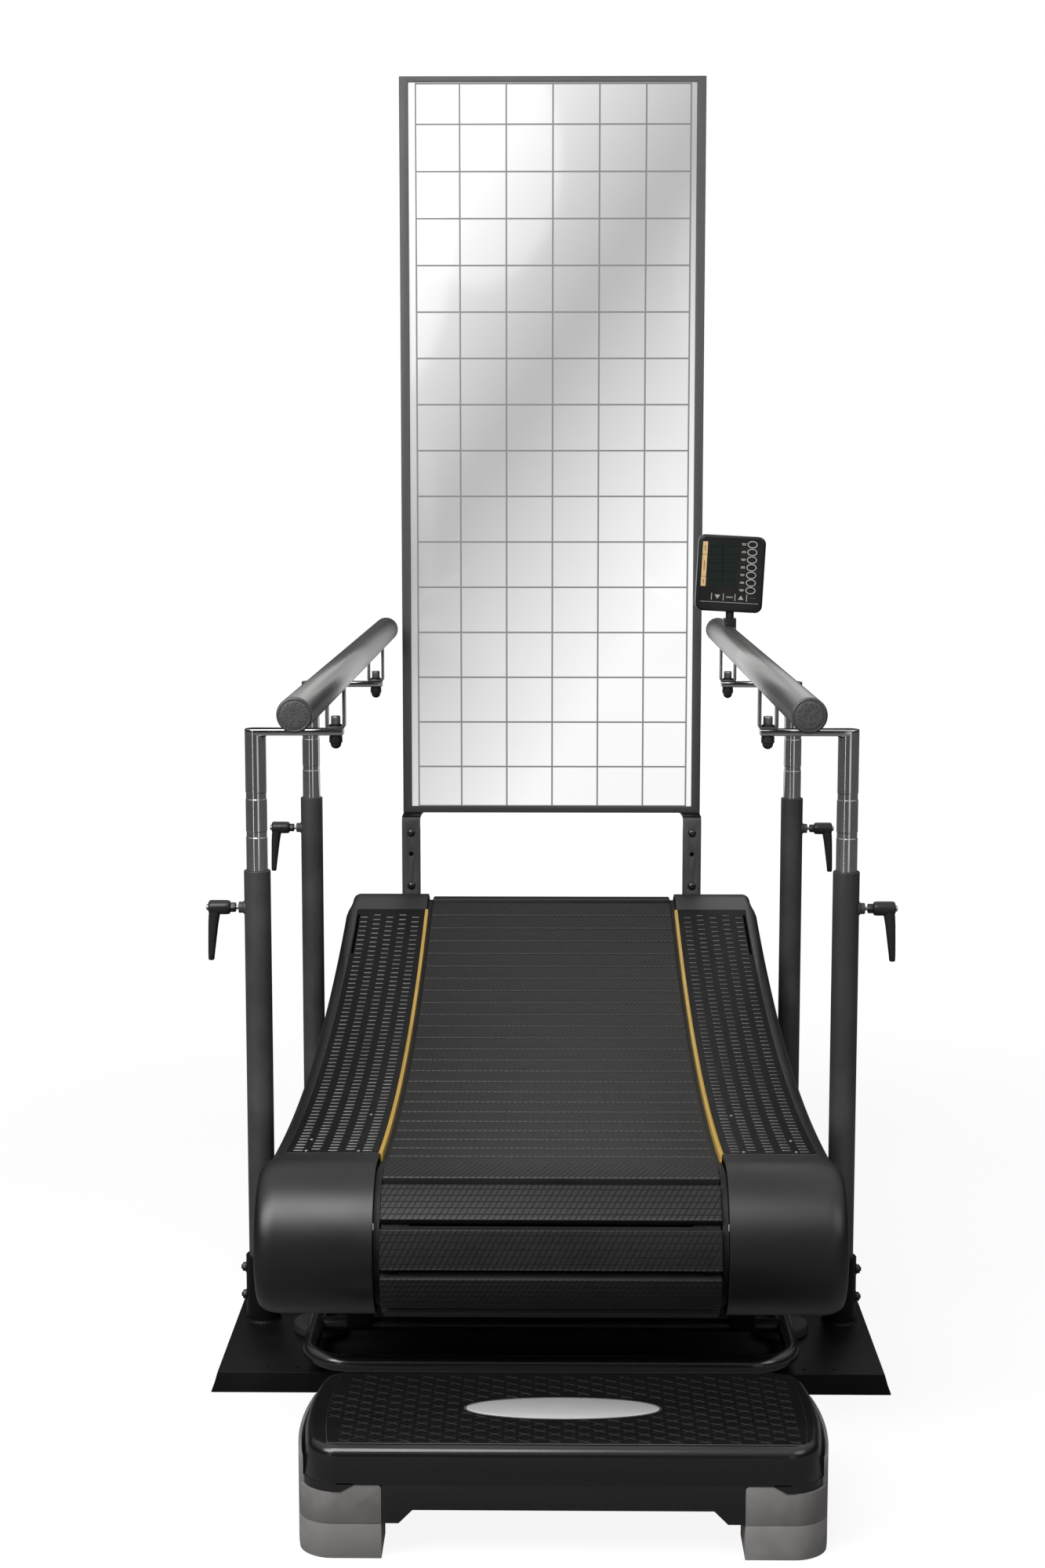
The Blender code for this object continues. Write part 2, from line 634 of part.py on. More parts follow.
def cover_layers(drop, flare):
    """Sections of a cover's shell from its inner lip round to its outer lip: (x, inset from the outline)."""
    flat = COVER_X[1] - SHOULDER
    wall = COVER_WALL
    inner, outer = [(COVER_X[0], wall)], [(COVER_X[0], 0.0)]
    for k in range(5):
        turn = math.pi / 8 * k
        inner.append((flat + (SHOULDER + flare - wall) * math.sin(turn), wall + (drop - wall) * (1 - math.cos(turn))))
        outer.append((flat + (SHOULDER + flare) * math.sin(turn), drop * (1 - math.cos(turn))))
    return inner[::-1] + outer


def past_tread(v):
    """0 beside the tread, 1 on the fuller end caps."""
    beyond = max(TREAD_V[0] - v, v - TREAD_V[1])
    return min(1.0, max(0.0, (beyond - END_RAMP[0]) / (END_RAMP[1] - END_RAMP[0])))


def cover(name, side):
    """Moulded side cover: a shell with a rounded outer shoulder, open to the belt, recessed for the tread."""
    loops = []
    for (x, inset), (end_x, end_inset) in zip(cover_layers(SHOULDER_DROP, 0.0), cover_layers(END_DROP, END_FLARE)):
        beside = loop_round(COVER_OVER, COVER_REAR_R, COVER_FRONT_R, inset, 20, 10)
        at_end = loop_round(COVER_OVER, COVER_REAR_R, COVER_FRONT_R, end_inset, 20, 10)
        loop = []
        for (y, z), (end_y, end_z) in zip(beside, at_end):
            part = past_tread(y - MID_Y)
            loop.append((side * (x + (end_x - x) * part), y + (end_y - y) * part, z + (end_z - z) * part))
        loops.append(loop)
    made = skin(name, loops, "black_plastic")
    near, far = sorted((side * (COVER_X[0] - 0.01), side * TREAD_X[1]))
    deep = TREAD_THICK + GAP - COVER_OVER
    cut(made, arc_bar(name + "_recess", near, far, -COVER_OVER - 0.004, deep, TREAD_V[0], TREAD_V[1], 20))
    for v in (-CROSS_V, CROSS_V):
        z = arc_z(ARC_R + UNDER_BELT + SIDE_DEEP, v)
        hole = sorted((side * (UPRIGHT_X[0] - 0.005), side * (UPRIGHT_X[1] + 0.005)))
        half = UPRIGHT_HALF + 0.005
        cut(made, box(f"{name}_slot{v}", (hole[0], v + MID_Y - half, z - UPRIGHT_SLOT[1]),
                      (hole[1], v + MID_Y + half, z - UPRIGHT_SLOT[0])))
    return made


def tread(name, side):
    near, far = sorted((side * TREAD_X[0], side * (TREAD_X[1] - GAP)))
    top = -COVER_OVER
    return arc_bar(name, near, far, top, top + TREAD_THICK, TREAD_V[0] + GAP, TREAD_V[1] - GAP, 20, "black_plastic")


def edge_strip(name, side):
    """Yellow angle strip: a flat top beside the tread and a thin lip down beside the belt."""
    near, far = EDGE_X
    section = ((near, 0.0), (far, 0.0), (far, EDGE_SHEET), (near + EDGE_SHEET, EDGE_SHEET),
               (near + EDGE_SHEET, EDGE_DEEP), (near, EDGE_DEEP))
    first, last = turn_at(TREAD_V[0] + GAP), turn_at(TREAD_V[1] - GAP)
    loops = []
    for k in range(21):
        turn = first + (last - first) * k / 20
        loop = []
        for x, deep in section:
            v, z = arc_point(ARC_R - COVER_OVER + deep, turn)
            loop.append((side * x, v + MID_Y, z))
        loops.append(loop)
    return skin(name, loops, "yellow")


def ring_path():
    """Corner-rounded rectangle of the ring: (x, y, direction outwards) round the loop."""
    path = []
    for corner, (sx, sy) in enumerate(((1, 1), (-1, 1), (-1, -1), (1, -1))):
        for k in range(5):
            angle = math.pi / 2 * (corner + k / 4)
            path.append((sx * (RING_X - RING_CORNER) + RING_CORNER * math.cos(angle),
                         MID_Y + sy * (RING_V - RING_CORNER) + RING_CORNER * math.sin(angle), angle))
    return path


def base_frame():
    """Tube ring with two cross tubes, four uprights to the side frames and two flat mirror bars."""
    loops = []
    for x, y, angle in ring_path():
        loop = []
        for k in range(12):
            turn = 2 * math.pi * (k + 0.5) / 12
            out = RING_R * math.cos(turn)
            loop.append((x + out * math.cos(angle), y + out * math.sin(angle), RING_Z + RING_R * math.sin(turn)))
        loops.append(loop)
    made = skin("base_frame", loops, "satin_black", closed=True)
    for v in (-CROSS_V, CROSS_V):
        y = v + MID_Y
        unite(made, turned(f"cross{v}", [(CROSS_R, -RING_X), (CROSS_R, RING_X)], "X", (0, y, RING_Z), 12))
        for side in (-1, 1):
            x0, x1 = sorted((side * UPRIGHT_X[0], side * UPRIGHT_X[1]))
            corners = [(x0, -UPRIGHT_HALF), (x1, -UPRIGHT_HALF), (x1, UPRIGHT_HALF), (x0, UPRIGHT_HALF)]
            low = [(x, y + dy, RING_Z) for x, dy in corners]
            under = ARC_R + UNDER_BELT + 0.001 + SIDE_DEEP + 2 * GAP
            high = [(x, y + dy, arc_z(under, v + dy)) for x, dy in corners]
            unite(made, skin(f"upright{side}{v}", [low, high]))
    for side in (-1, 1):
        x0, x1 = sorted((side * LEG_X[0], side * LEG_X[1]))
        unite(made, box(f"mirror_bar{side}", (x0, BAR_V[0] + MID_Y, BAR_Z[0]), (x1, BAR_V[1] + MID_Y, BAR_Z[1])))
        for z in (*LEG_BOLTS, LEG_HOLE_Z):
            hole = [(BOLT_HOLE_R, BAR_V[0] + MID_Y - 0.01), (BOLT_HOLE_R, BAR_V[1] + MID_Y + 0.01)]
            cut(made, turned(f"mirror_bar_hole{side}{z}", hole, "Y", ((x0 + x1) / 2, 0, z), 12))
        for v in (-FOOT_V, FOOT_V):
            bore = [(FOOT_STUD_HOLE, RING_Z - 0.03), (FOOT_STUD_HOLE, RING_Z + 0.03)]
            cut(made, turned(f"foot_hole{side}{v}", bore, "Z", (side * RING_X, v + MID_Y, 0), 12))
    return made


def levelling_foot(name, x, y):
    """Round foot with its stud up through the ring and a nut on top."""
    low = PLATE_TOP + GAP
    top = PLATE_TOP + FOOT_THICK
    nut = RING_Z + RING_R + GAP
    profile = [(FOOT_R, low), (FOOT_R, top - 0.003), (FOOT_R - 0.003, top), (0.010, top), (0.009, top + 0.003),
               (FOOT_STUD_R, top + 0.003), (FOOT_STUD_R, nut), (0.0098, nut), (0.0098, nut + 0.007),
               (FOOT_STUD_R, nut + 0.007), (FOOT_STUD_R, FOOT_STUD_TOP + 0.004)]
    return turned(name, profile, "Z", (x, y, 0), finish="black_plastic", pivot=(x, y, low))


slat_belt()
drum("rear_drum", REAR_DRUM_V)
drum("front_drum", FRONT_DRUM_V)
base_frame()
for side_name, side in (("left", -1), ("right", 1)):
    side_frame(side_name + "_side_frame", side)
    cover(side_name + "_cover", side)
    tread(side_name + "_tread", side)
    edge_strip(side_name + "_edge_strip", side)
    levelling_foot(side_name + "_rear_foot", side * RING_X, MID_Y - FOOT_V)
    levelling_foot(side_name + "_front_foot", side * RING_X, MID_Y + FOOT_V)


def rectangle(half, low, high, inset, v):
    """Corners of an upright rectangle in the mirror's plane, as world points."""
    side, bottom, top = inset
    a, b, c = half - side, low + bottom, high - top
    return [(-a, v + MID_Y, b), (a, v + MID_Y, b), (a, v + MID_Y, c), (-a, v + MID_Y, c)]


def mirror():
    """Tray frame with a closed back, and the glass laid in it."""
    edge = (MIRROR_SIDE, MIRROR_LOW_EDGE, MIRROR_TOP_EDGE)
    front, back = MIRROR_V
    slope = 0.003
    loops = [rectangle(MIRROR_HALF, *MIRROR_Z, edge, MIRROR_FLOOR_V),
             rectangle(MIRROR_HALF, *MIRROR_Z, edge, front + slope),
             rectangle(MIRROR_HALF, *MIRROR_Z, [part - slope for part in edge], front),
             rectangle(MIRROR_HALF, *MIRROR_Z, (slope, slope, slope), front),
             rectangle(MIRROR_HALF, *MIRROR_Z, (0, 0, 0), front + slope),
             rectangle(MIRROR_HALF, *MIRROR_Z, (0, 0, 0), back)]
    skin("mirror_frame", loops, "black_plastic")
    pane = [part + GAP for part in edge]
    skin("mirror_glass", [rectangle(MIRROR_HALF, *MIRROR_Z, pane, v)
                          for v in (GLASS_FRONT_V, MIRROR_FLOOR_V - GAP)], "glass")


def mirror_leg(name, side):
    """Bent strap under the mirror, bolted through the flat bar behind it at two of three holes."""
    front, back = LEG_V
    top = MIRROR_Z[0] - GAP
    thick = back - front
    bend = 0.016
    outline = [(front, LEG_BOTTOM), (back, LEG_BOTTOM), (back, top - thick - bend), (back + bend, top - thick),
               (MIRROR_V[1], top - thick), (MIRROR_V[1], top), (back + bend - 0.002, top), (front, top - bend)]
    x0, x1 = sorted((side * LEG_X[0], side * LEG_X[1]))
    middle = (x0 + x1) / 2
    made = prism(name, [(v + MID_Y, z) for v, z in outline], "X", x0, x1, "satin_black")
    for z in LEG_BOLTS:
        nut = BAR_V[1] + GAP
        profile = [(0.0030, front - DOME_HEAD), (0.0062, front - DOME_HEAD * 0.7), (DOME_HEAD_R, front - 0.001),
                   (DOME_HEAD_R, front + 0.001), (BOLT_R, front + 0.001), (BOLT_R, nut), (0.0075, nut),
                   (0.0075, nut + 0.006)]
        profile = [(radius, v + MID_Y) for radius, v in profile]
        unite(made, turned(f"{name}_bolt{z}", profile, "Y", (middle, 0, z), 12))
    hole = [(BOLT_HOLE_R, front + MID_Y - 0.01), (BOLT_HOLE_R, back + MID_Y + 0.01)]
    return cut(made, turned(name + "_hole", hole, "Y", (middle, 0, LEG_HOLE_Z), 12))


def step_plan(flare, inset):
    """Plan of the step about its middle: straight long edges, and ends that bow outwards."""
    half_y = (STEP_BACK_V - STEP_FRONT_V) / 2
    corners = rounded(STEP_HALF + flare - inset, half_y - inset, STEP_CORNER - inset)
    outline = []
    for (a, b), (next_a, next_b) in zip(corners, corners[1:] + corners[:1]):
        outline.append((a, b))
        if abs(a - next_a) < 1e-6:
            outline += [(a, b + (next_b - b) * k / 4) for k in (1, 2, 3)]
    return [(a - math.copysign(STEP_BOW * (b / half_y) ** 2, a), b) for a, b in outline]


def step_top():
    """Moulded step: a shell open underneath, with a skirt and chamfered tabs between the risers."""
    half_y = (STEP_BACK_V - STEP_FRONT_V) / 2
    middle = (STEP_X, (STEP_BACK_V + STEP_FRONT_V) / 2 + MID_Y)

    def ring(flare, inset, z):
        return [(middle[0] + a, middle[1] + b, z) for a, b in step_plan(flare, inset)]

    wall = STEP_WALL
    loops = [ring(0, wall + 0.010, STEP_TOP - wall), ring(0, wall, STEP_SHOULDER - wall),
             ring(STEP_FLARE, wall, STEP_SPLIT), ring(STEP_FLARE, 0, STEP_SPLIT), ring(0, 0, STEP_SHOULDER),
             ring(0, 0.0025, STEP_SHOULDER + 0.009), ring(0, 0.011, STEP_TOP)]
    made = skin("step_top", loops, "black_plastic")
    reach = RISER_IN - GAP
    for end in (-1, 1):
        y0, y1 = sorted((middle[1] + end * half_y, middle[1] + end * (half_y - wall)))
        outline = [(-reach, STEP_TAB_Z), (-reach + STEP_TAB, STEP_TAB_Z),
                   (-reach + STEP_TAB + STEP_SKIRT_Z - STEP_TAB_Z, STEP_SKIRT_Z),
                   (reach - STEP_TAB - STEP_SKIRT_Z + STEP_TAB_Z, STEP_SKIRT_Z), (reach - STEP_TAB, STEP_TAB_Z),
                   (reach, STEP_TAB_Z), (reach, STEP_SPLIT + 0.004), (-reach, STEP_SPLIT + 0.004)]
        unite(made, prism(f"step_skirt{end}", [(middle[0] + a, z) for a, z in outline], "Y", y0, y1))
    return made


def riser(name, side, low, high):
    """Corner blocks of the step in front and behind, joined by a bridge along the end."""
    half_y = (STEP_BACK_V - STEP_FRONT_V) / 2
    middle_y = (STEP_BACK_V + STEP_FRONT_V) / 2 + MID_Y
    inner = side * RISER_IN
    outline = []
    for a, b in step_plan(RISER_FLARE, 0):
        if a * side > 0:
            outline.append((a, b))
    if side > 0:
        split = next(i for i in range(len(outline)) if outline[i][1] < 0)
        outline = outline[split:] + outline[:split]
    outline = [(inner, outline[0][1])] + outline + [(inner, outline[-1][1])]
    made = prism(name, [(STEP_X + a, middle_y + b) for a, b in outline], "Z", low, high, "grey_plastic")
    if high > RISER_SEAM:
        thick, along, top = RISER_CHEEK
        face = [(STEP_X + a, middle_y + b) for a, b in outline if abs(b) < along]
        face += [(x - side * thick, y) for x, y in reversed(face)]
        unite(made, prism(name + "_cheek", face, "Z", high - 0.005, top))
    open_y = half_y - RISER_DEEP
    x0, x1 = sorted((STEP_X + inner - side * 0.01, STEP_X + side * (STEP_HALF + 0.01)))
    cut(made, box(name + "_arch", (x0, middle_y - open_y, low - 0.01), (x1, middle_y + open_y, high - RISER_BRIDGE)))
    return made


def console():
    """Console housing with its keypad plate in front, on a stem that is clamped round the right rail."""
    turn = math.radians(CONSOLE_TURN)
    front = CONSOLE_V + MID_Y - CONSOLE_THICK / 2
    back = front + CONSOLE_THICK
    pivot = (PIVOT_X + 0.006, CONSOLE_V + MID_Y, RAIL_Z + RAIL_R + CLAMP_RISE)

    def ring(inset, y):
        outline = rounded(CONSOLE_HALF[0] - inset, CONSOLE_HALF[1] - inset, 0.014 - inset)
        return [(CONSOLE_X + a * math.cos(turn) - b * math.sin(turn), y,
                 CONSOLE_Z + a * math.sin(turn) + b * math.cos(turn)) for a, b in outline]

    body = [ring(0.004, front), ring(0.0, front + 0.005), ring(0.0, back - 0.006), ring(0.006, back)]
    made = skin("console_body", body, "black_plastic", pivot=pivot)
    plate_inset = 0.0065
    pocket = skin("console_pocket", [ring(plate_inset, front - 0.01), ring(plate_inset, front + OVERLAY_THICK)])
    cut(made, pocket)
    low_z = RAIL_Z + RAIL_R + CLAMP_RISE + GAP
    stem = [(STEM_R * 1.4, low_z), (STEM_R * 1.4, low_z + 0.004), (STEM_R, low_z + 0.005),
            (STEM_R, CONSOLE_Z - CONSOLE_HALF[1] + 0.012)]
    unite(made, turned("console_stem", stem, "Z", (PIVOT_X + 0.006, CONSOLE_V + MID_Y, 0), 16))
    overlay = [ring(plate_inset + GAP, front + 0.0001), ring(plate_inset + GAP, front + OVERLAY_THICK - GAP)]
    skin("console_keypad", overlay, "black_plastic", pivot=pivot)
    x, y = PIVOT_X + 0.006, CONSOLE_V + MID_Y
    rail_pivot = (PIVOT_X, MID_Y - POST_V, TUBE_TOP)
    half = CLAMP_HALF
    outline = [(x - half, RAIL_Z), (x + half, RAIL_Z), (x + half, RAIL_Z + RAIL_R + CLAMP_RISE),
               (x - half, RAIL_Z + RAIL_R + CLAMP_RISE)]
    block = prism("console_clamp", outline, "Y", y - half, y + half, "black_plastic", rail_pivot)
    saddle = [(RAIL_R + GAP, y - 2 * half), (RAIL_R + GAP, y + 2 * half)]
    return cut(block, turned("console_clamp_saddle", saddle, "Y", (PIVOT_X, 0, RAIL_Z), 2 * RAIL_ROUND))


mirror()
step_top()
console()
for side_name, side in (("left", -1), ("right", 1)):
    mirror_leg(side_name + "_mirror_leg", side)
    riser(side_name + "_upper_riser", side, RISER_SEAM + GAP, STEP_SPLIT - GAP)
    riser(side_name + "_lower_riser", side, 0.0, RISER_SEAM)
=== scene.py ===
"""Biofeedback treadmill dressed for its render: rails on posts, curved slat belt, mirror, console and step.

Metres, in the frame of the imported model: X right, Y forward to the mirror, Z up, the floor at zero.
A name that ends in _V holds places along Y, measured from the middle of the machine.
"""

import math

import bmesh
import bpy
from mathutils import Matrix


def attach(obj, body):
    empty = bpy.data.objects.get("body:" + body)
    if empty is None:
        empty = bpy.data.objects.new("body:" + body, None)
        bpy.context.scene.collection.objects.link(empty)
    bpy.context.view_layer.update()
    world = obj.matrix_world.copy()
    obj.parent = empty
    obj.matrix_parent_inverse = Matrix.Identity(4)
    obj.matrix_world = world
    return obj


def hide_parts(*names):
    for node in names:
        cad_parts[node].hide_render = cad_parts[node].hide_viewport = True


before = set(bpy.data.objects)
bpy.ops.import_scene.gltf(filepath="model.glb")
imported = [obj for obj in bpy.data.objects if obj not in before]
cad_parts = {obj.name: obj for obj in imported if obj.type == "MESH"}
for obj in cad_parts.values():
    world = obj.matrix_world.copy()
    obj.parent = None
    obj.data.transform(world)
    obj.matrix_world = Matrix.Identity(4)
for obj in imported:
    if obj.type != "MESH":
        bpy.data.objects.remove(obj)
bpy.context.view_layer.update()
MIDDLE_Y = 0.215


# Room: a pale floor, white surroundings and large soft lamps, with the camera at the height of a
# standing person's eyes in front of the step. Camera, lamps and floor are not part of the treadmill.
EYE = (0.0, -4.030, 1.392)
LENS = 55.8
SENSOR = 36.0
PITCH_DOWN = 7.26
TURN_LEFT = 0.69
LAMPS = {
    "overhead": ((-0.95, -2.6, 3.5), (-0.2, -0.4, 0.0), 2.2, 98.0),
    "front_left": ((-2.6, -3.0, 2.9), (0.0, 0.0, 0.6), 2.2, 100.0),
    "front_right": ((2.8, -2.8, 2.7), (0.0, 0.0, 0.6), 2.2, 28.0),
    "behind": ((0.6, 3.4, 3.2), (0.0, 0.4, 0.8), 2.4, 7.0),
    "strip": ((-1.9, -3.2, 0.8), (0.0, 0.0, 0.8), 0.16, 2.0),
    "panel": ((1.6, -4.2, 0.8), (0.0, 0.0, 0.8), 1.3, 4.0),
}
UPRIGHT_LAMPS = ("strip", "panel")
TALL = 1.5
FILL = 0.15
MIRRORED_LOW = 0.025
MIRRORED_BAND = (0.30, 0.85)
FLOOR_SIZE = 60.0
FLOOR_SHARE = (0.84, 0.96)
FLOOR_FAR = (1.5, 9.0)
FLOOR_IN_METAL = 0.06
FLOOR_PAINT = (0.16, 0.70)
FLOOR_GLOW = 1.08


class Wire:
    """A socket in a shader tree. Sums and products with it add Math nodes."""

    def __init__(self, finish, socket):
        self.finish = finish
        self.socket = socket

    def maths(self, operation, first, second=0.0):
        return self.finish.node("ShaderNodeMath", {"operation": operation}, {0: first, 1: second})

    def __add__(self, other):
        return self.maths("ADD", self, other)

    def __sub__(self, other):
        return self.maths("SUBTRACT", self, other)

    def __rsub__(self, other):
        return self.maths("SUBTRACT", other, self)

    def __mul__(self, other):
        return self.maths("MULTIPLY", self, other)

    def __truediv__(self, other):
        return self.maths("DIVIDE", self, other)

    def __mod__(self, other):
        return self.maths("FLOORED_MODULO", self, other)

    def __abs__(self):
        return self.maths("ABSOLUTE", self)

    def root(self):
        return self.maths("SQRT", self)

    def least(self, other):
        return self.maths("MINIMUM", self, other)

    def most(self, other):
        return self.maths("MAXIMUM", self, other)

    def to_nearest(self, pitch, first=0.0):
        """Distance to the nearest of lines that are this far apart, one of them at first."""
        return abs(((self - first) / pitch + 0.5) % 1.0 - 0.5) * pitch


class Drawing:
    """A shader tree whose nodes are drawn by name."""

    def __init__(self, tree, shader):
        self.tree = tree
        self.shader = tree.nodes[shader]

    def set(self, socket, value):
        if isinstance(value, Wire):
            self.tree.links.new(value.socket, socket)
        else:
            socket.default_value = value

    def feed(self, name, value):
        """Sets an input of the shader, or links a wire to it."""
        self.set(self.shader.inputs[name], value)

    def node(self, kind, settings=None, inputs=None, out=0):
        made = self.tree.nodes.new(kind)
        for name, value in (settings or {}).items():
            setattr(made, name, value)
        for name, value in (inputs or {}).items():
            self.set(made.inputs[name], value)
        return Wire(self, made.outputs[out])

    def ray(self, kind):
        """1 for a ray of this kind."""
        return self.node("ShaderNodeLightPath", out=f"Is {kind} Ray")

    def parts(self, vector):
        """The X, Y and Z of a vector."""
        split = self.node("ShaderNodeSeparateXYZ", {}, {0: vector})
        return [Wire(self, split.socket.node.outputs[k]) for k in range(3)]

    def stretch(self, value, low, high, to_low=0.0, to_high=1.0):
        return self.node("ShaderNodeMapRange", {}, {0: value, 1: low, 2: high, 3: to_low, 4: to_high})


class Finish(Drawing):
    """A surface finish: one material, coloured in metres of the object's own places."""

    def __init__(self, name, colour, roughness, metallic=0.0, **more):
        self.material = bpy.data.materials.new(name)
        self.material.use_nodes = True
        super().__init__(self.material.node_tree, "Principled BSDF")
        self.feed("Base Color", (*colour, 1.0))
        self.feed("Roughness", roughness)
        self.feed("Metallic", metallic)
        for name, value in more.items():
            self.feed(name.replace("_", " ").title().replace("Ior", "IOR"), value)

    def place(self):
        """Object coordinates in metres."""
        return self.node("ShaderNodeTexCoord", out="Object")

    def noise(self, size, detail=2.0, scale=None):
        """Soft noise about 0.5 whose lumps are this many metres across."""
        where = self.place()
        if scale:
            where = self.node("ShaderNodeMapping", {}, {"Vector": where, "Scale": scale})
        return self.node("ShaderNodeTexNoise", {}, {"Vector": where, "Scale": 1.0 / size, "Detail": detail})

    def mixed(self, factor, first, second):
        """Two colours mixed."""
        pair = [shade if isinstance(shade, Wire) else (*shade, 1.0) for shade in (first, second)]
        return self.node("ShaderNodeMix", {"data_type": "RGBA"}, {0: factor, 6: pair[0], 7: pair[1]}, 2)

    def bump(self, height, depth):
        """Relief: height of 1 stands this many metres proud."""
        inputs = {"Height": height, "Distance": depth, "Strength": 1.0}
        self.feed("Normal", self.node("ShaderNodeBump", {}, inputs))


def place_camera():
    camera = bpy.data.objects.new("camera", bpy.data.cameras.new("camera"))
    camera.data.lens = LENS
    camera.data.sensor_width = SENSOR
    camera.location = EYE
    camera.rotation_euler = (math.radians(90.0 - PITCH_DOWN), 0.0, math.radians(TURN_LEFT))
    bpy.context.scene.collection.objects.link(camera)
    bpy.context.scene.camera = camera


def place_lamps():
    for name, (place, aim, width, power) in LAMPS.items():
        lamp = bpy.data.lights.new(name, "AREA")
        lamp.shape = "RECTANGLE" if name in UPRIGHT_LAMPS else "DISK"
        lamp.size = width
        lamp.size_y = TALL
        lamp.energy = power
        holder = bpy.data.objects.new(name, lamp)
        holder.location = place
        towards = [b - a for a, b in zip(place, aim)]
        flat = math.hypot(towards[0], towards[1])
        holder.rotation_euler = (math.atan2(flat, -towards[2]), 0.0, math.atan2(-towards[0], towards[1]))
        bpy.context.scene.collection.objects.link(holder)


def surround():
    """White to the camera, darker low down in reflections, and a weak even light on the object."""
    world = bpy.data.worlds.new("surroundings")
    world.use_nodes = True
    bpy.context.scene.world = world
    sky = Drawing(world.node_tree, "Background")
    height = sky.parts(sky.node("ShaderNodeTexCoord", out="Generated"))[2]
    mirrored = sky.ray("Glossy") * sky.stretch(height, *MIRRORED_BAND, MIRRORED_LOW, 1.0)
    fill = (1.0 - sky.ray("Glossy")) * FILL
    sky.feed("Color", (1.0, 1.0, 1.0, 1.0))
    sky.feed("Strength", sky.ray("Camera").most(sky.ray("Transmission")).most(mirrored).most(fill))


def lay_floor():
    """Painted so that it keeps the shadow, and glowing white into the distance for the camera."""
    bpy.ops.mesh.primitive_plane_add(size=FLOOR_SIZE)
    floor = bpy.context.object
    floor.name = "floor"
    paint = Finish("floor_paint", (0.50, 0.50, 0.50), 0.8)
    x, y, _ = paint.parts(paint.place())
    seen = paint.stretch(x * x + y * y, *FLOOR_FAR, *FLOOR_SHARE)
    paint.feed("Base Color", paint.mixed(paint.ray("Camera"), *[(shade,) * 3 for shade in FLOOR_PAINT]))
    share = paint.ray("Camera").most(paint.ray("Transmission")) * seen + paint.ray("Glossy") * FLOOR_IN_METAL
    glow = paint.node("ShaderNodeEmission", {}, {"Strength": FLOOR_GLOW})
    both = paint.node("ShaderNodeMixShader", {}, {0: share, 1: Wire(paint, paint.shader.outputs[0]), 2: glow})
    paint.tree.links.new(both.socket, paint.tree.nodes["Material Output"].inputs["Surface"])
    floor.data.materials.append(paint.material)


bpy.context.scene.view_settings.view_transform = "Standard"
place_camera()
place_lamps()
surround()
lay_floor()


# Base plates: two folded steel plates, powder coated satin black, with a socket tube welded on at
# each end. Two hex bolts clamp every post in its socket. The plates lie on the floor.
GAP = 0.0003
PLATE_HALF = (0.519, 0.509)
PLATE_V = (0.307, 0.683)
PLATE_TOP = 0.032
PLATE_LEAN = 0.002
PLATE_FOLD = ((0.003, 0.003, 0.0), (0.0, 0.0, 0.0), (0.0004, 0.0002, 0.0030), (0.0020, 0.0004, 0.0042))
PLATE_HOLLOW = (0.98, 0.026)
POST_X = 0.467
POST_V = 0.440
SOCKET_R = 0.0265
SOCKET_BORE = 0.0217
SOCKET_TOP = 0.140
SOCKET_BOLTS = (0.072, 0.118)
WELD = 0.0042
WASHER = ((0.0088, 0.0), (0.0092, 0.0006), (0.0092, 0.0016), (0.0086, 0.0020))
HEX_HEAD = ((0.0075, 0.0), (0.0075, 0.0058), (0.0064, 0.0071))
BOLT_TIP = ((0.0038, 0.0058), (0.0038, 0.0084), (0.0030, 0.0092))
RIVET = ((0.0028, -0.0002), (0.0026, 0.0007), (0.0012, 0.0012))
RIVET_IN = (0.074, 0.120)
RIVET_EDGE = 0.022


def mesh_object(name, points, faces, smooth):
    made = bpy.data.objects.new(name, bpy.data.meshes.new(name))
    bpy.context.scene.collection.objects.link(made)
    made.data.from_pydata(points, [], faces)
    work = bmesh.new()
    work.from_mesh(made.data)
    bmesh.ops.remove_doubles(work, verts=work.verts, dist=1e-6)
    bmesh.ops.recalc_face_normals(work, faces=work.faces)
    work.to_mesh(made.data)
    work.free()
    if smooth:
        made.data.shade_smooth()
    return made


def skin(loops, closed=False, smooth=True, name="part"):
    """A closed surface through loops of the same number of points."""
    count = len(loops[0])
    points = [p for loop in loops for p in loop]
    faces = []
    for k in range(len(loops) if closed else len(loops) - 1):
        near, far = k * count, (k + 1) % len(loops) * count
        for i in range(count):
            j = (i + 1) % count
            faces.append((near + i, near + j, far + j, far + i))
    if not closed:
        faces.append(tuple(range(count)))
        faces.append(tuple(range(len(points) - count, len(points))))
    return mesh_object(name, points, faces, smooth)


def turned(profile, axis, centre, sides, closed=False):
    """A profile of (radius, distance along the axis) turned round an axis through centre."""
    loops = []
    for radius, along in profile:
        loop = []
        for k in range(sides):
            angle = 2 * math.pi * k / sides
            a, b = radius * math.cos(angle), radius * math.sin(angle)
            x, y, z = {"X": (along, a, b), "Y": (a, along, b), "Z": (a, b, along)}[axis]
            loop.append((centre[0] + x, centre[1] + y, centre[2] + z))
        loops.append(loop)
    return skin(loops, closed)


def shifted(profile, out=0.0, along=0.0, sign=1):
    """A profile moved outwards and along its axis; a sign of -1 turns it to point the other way."""
    return [(out + radius, along + sign * way) for radius, way in profile]


def prism(outline, axis, low, high, name="part"):
    """An outline of (a, b) pairs pushed along an axis, flat shaded, ready for a bevel."""
    def at(a, b, h):
        return {"X": (h, a, b), "Y": (a, h, b), "Z": (a, b, h)}[axis]
    return skin([[at(a, b, h) for a, b in outline] for h in (low, high)], smooth=False, name=name)


def block(low, high):
    corners = [(low[0], low[1]), (high[0], low[1]), (high[0], high[1]), (low[0], high[1])]
    return prism(corners, "Z", low[2], high[2])


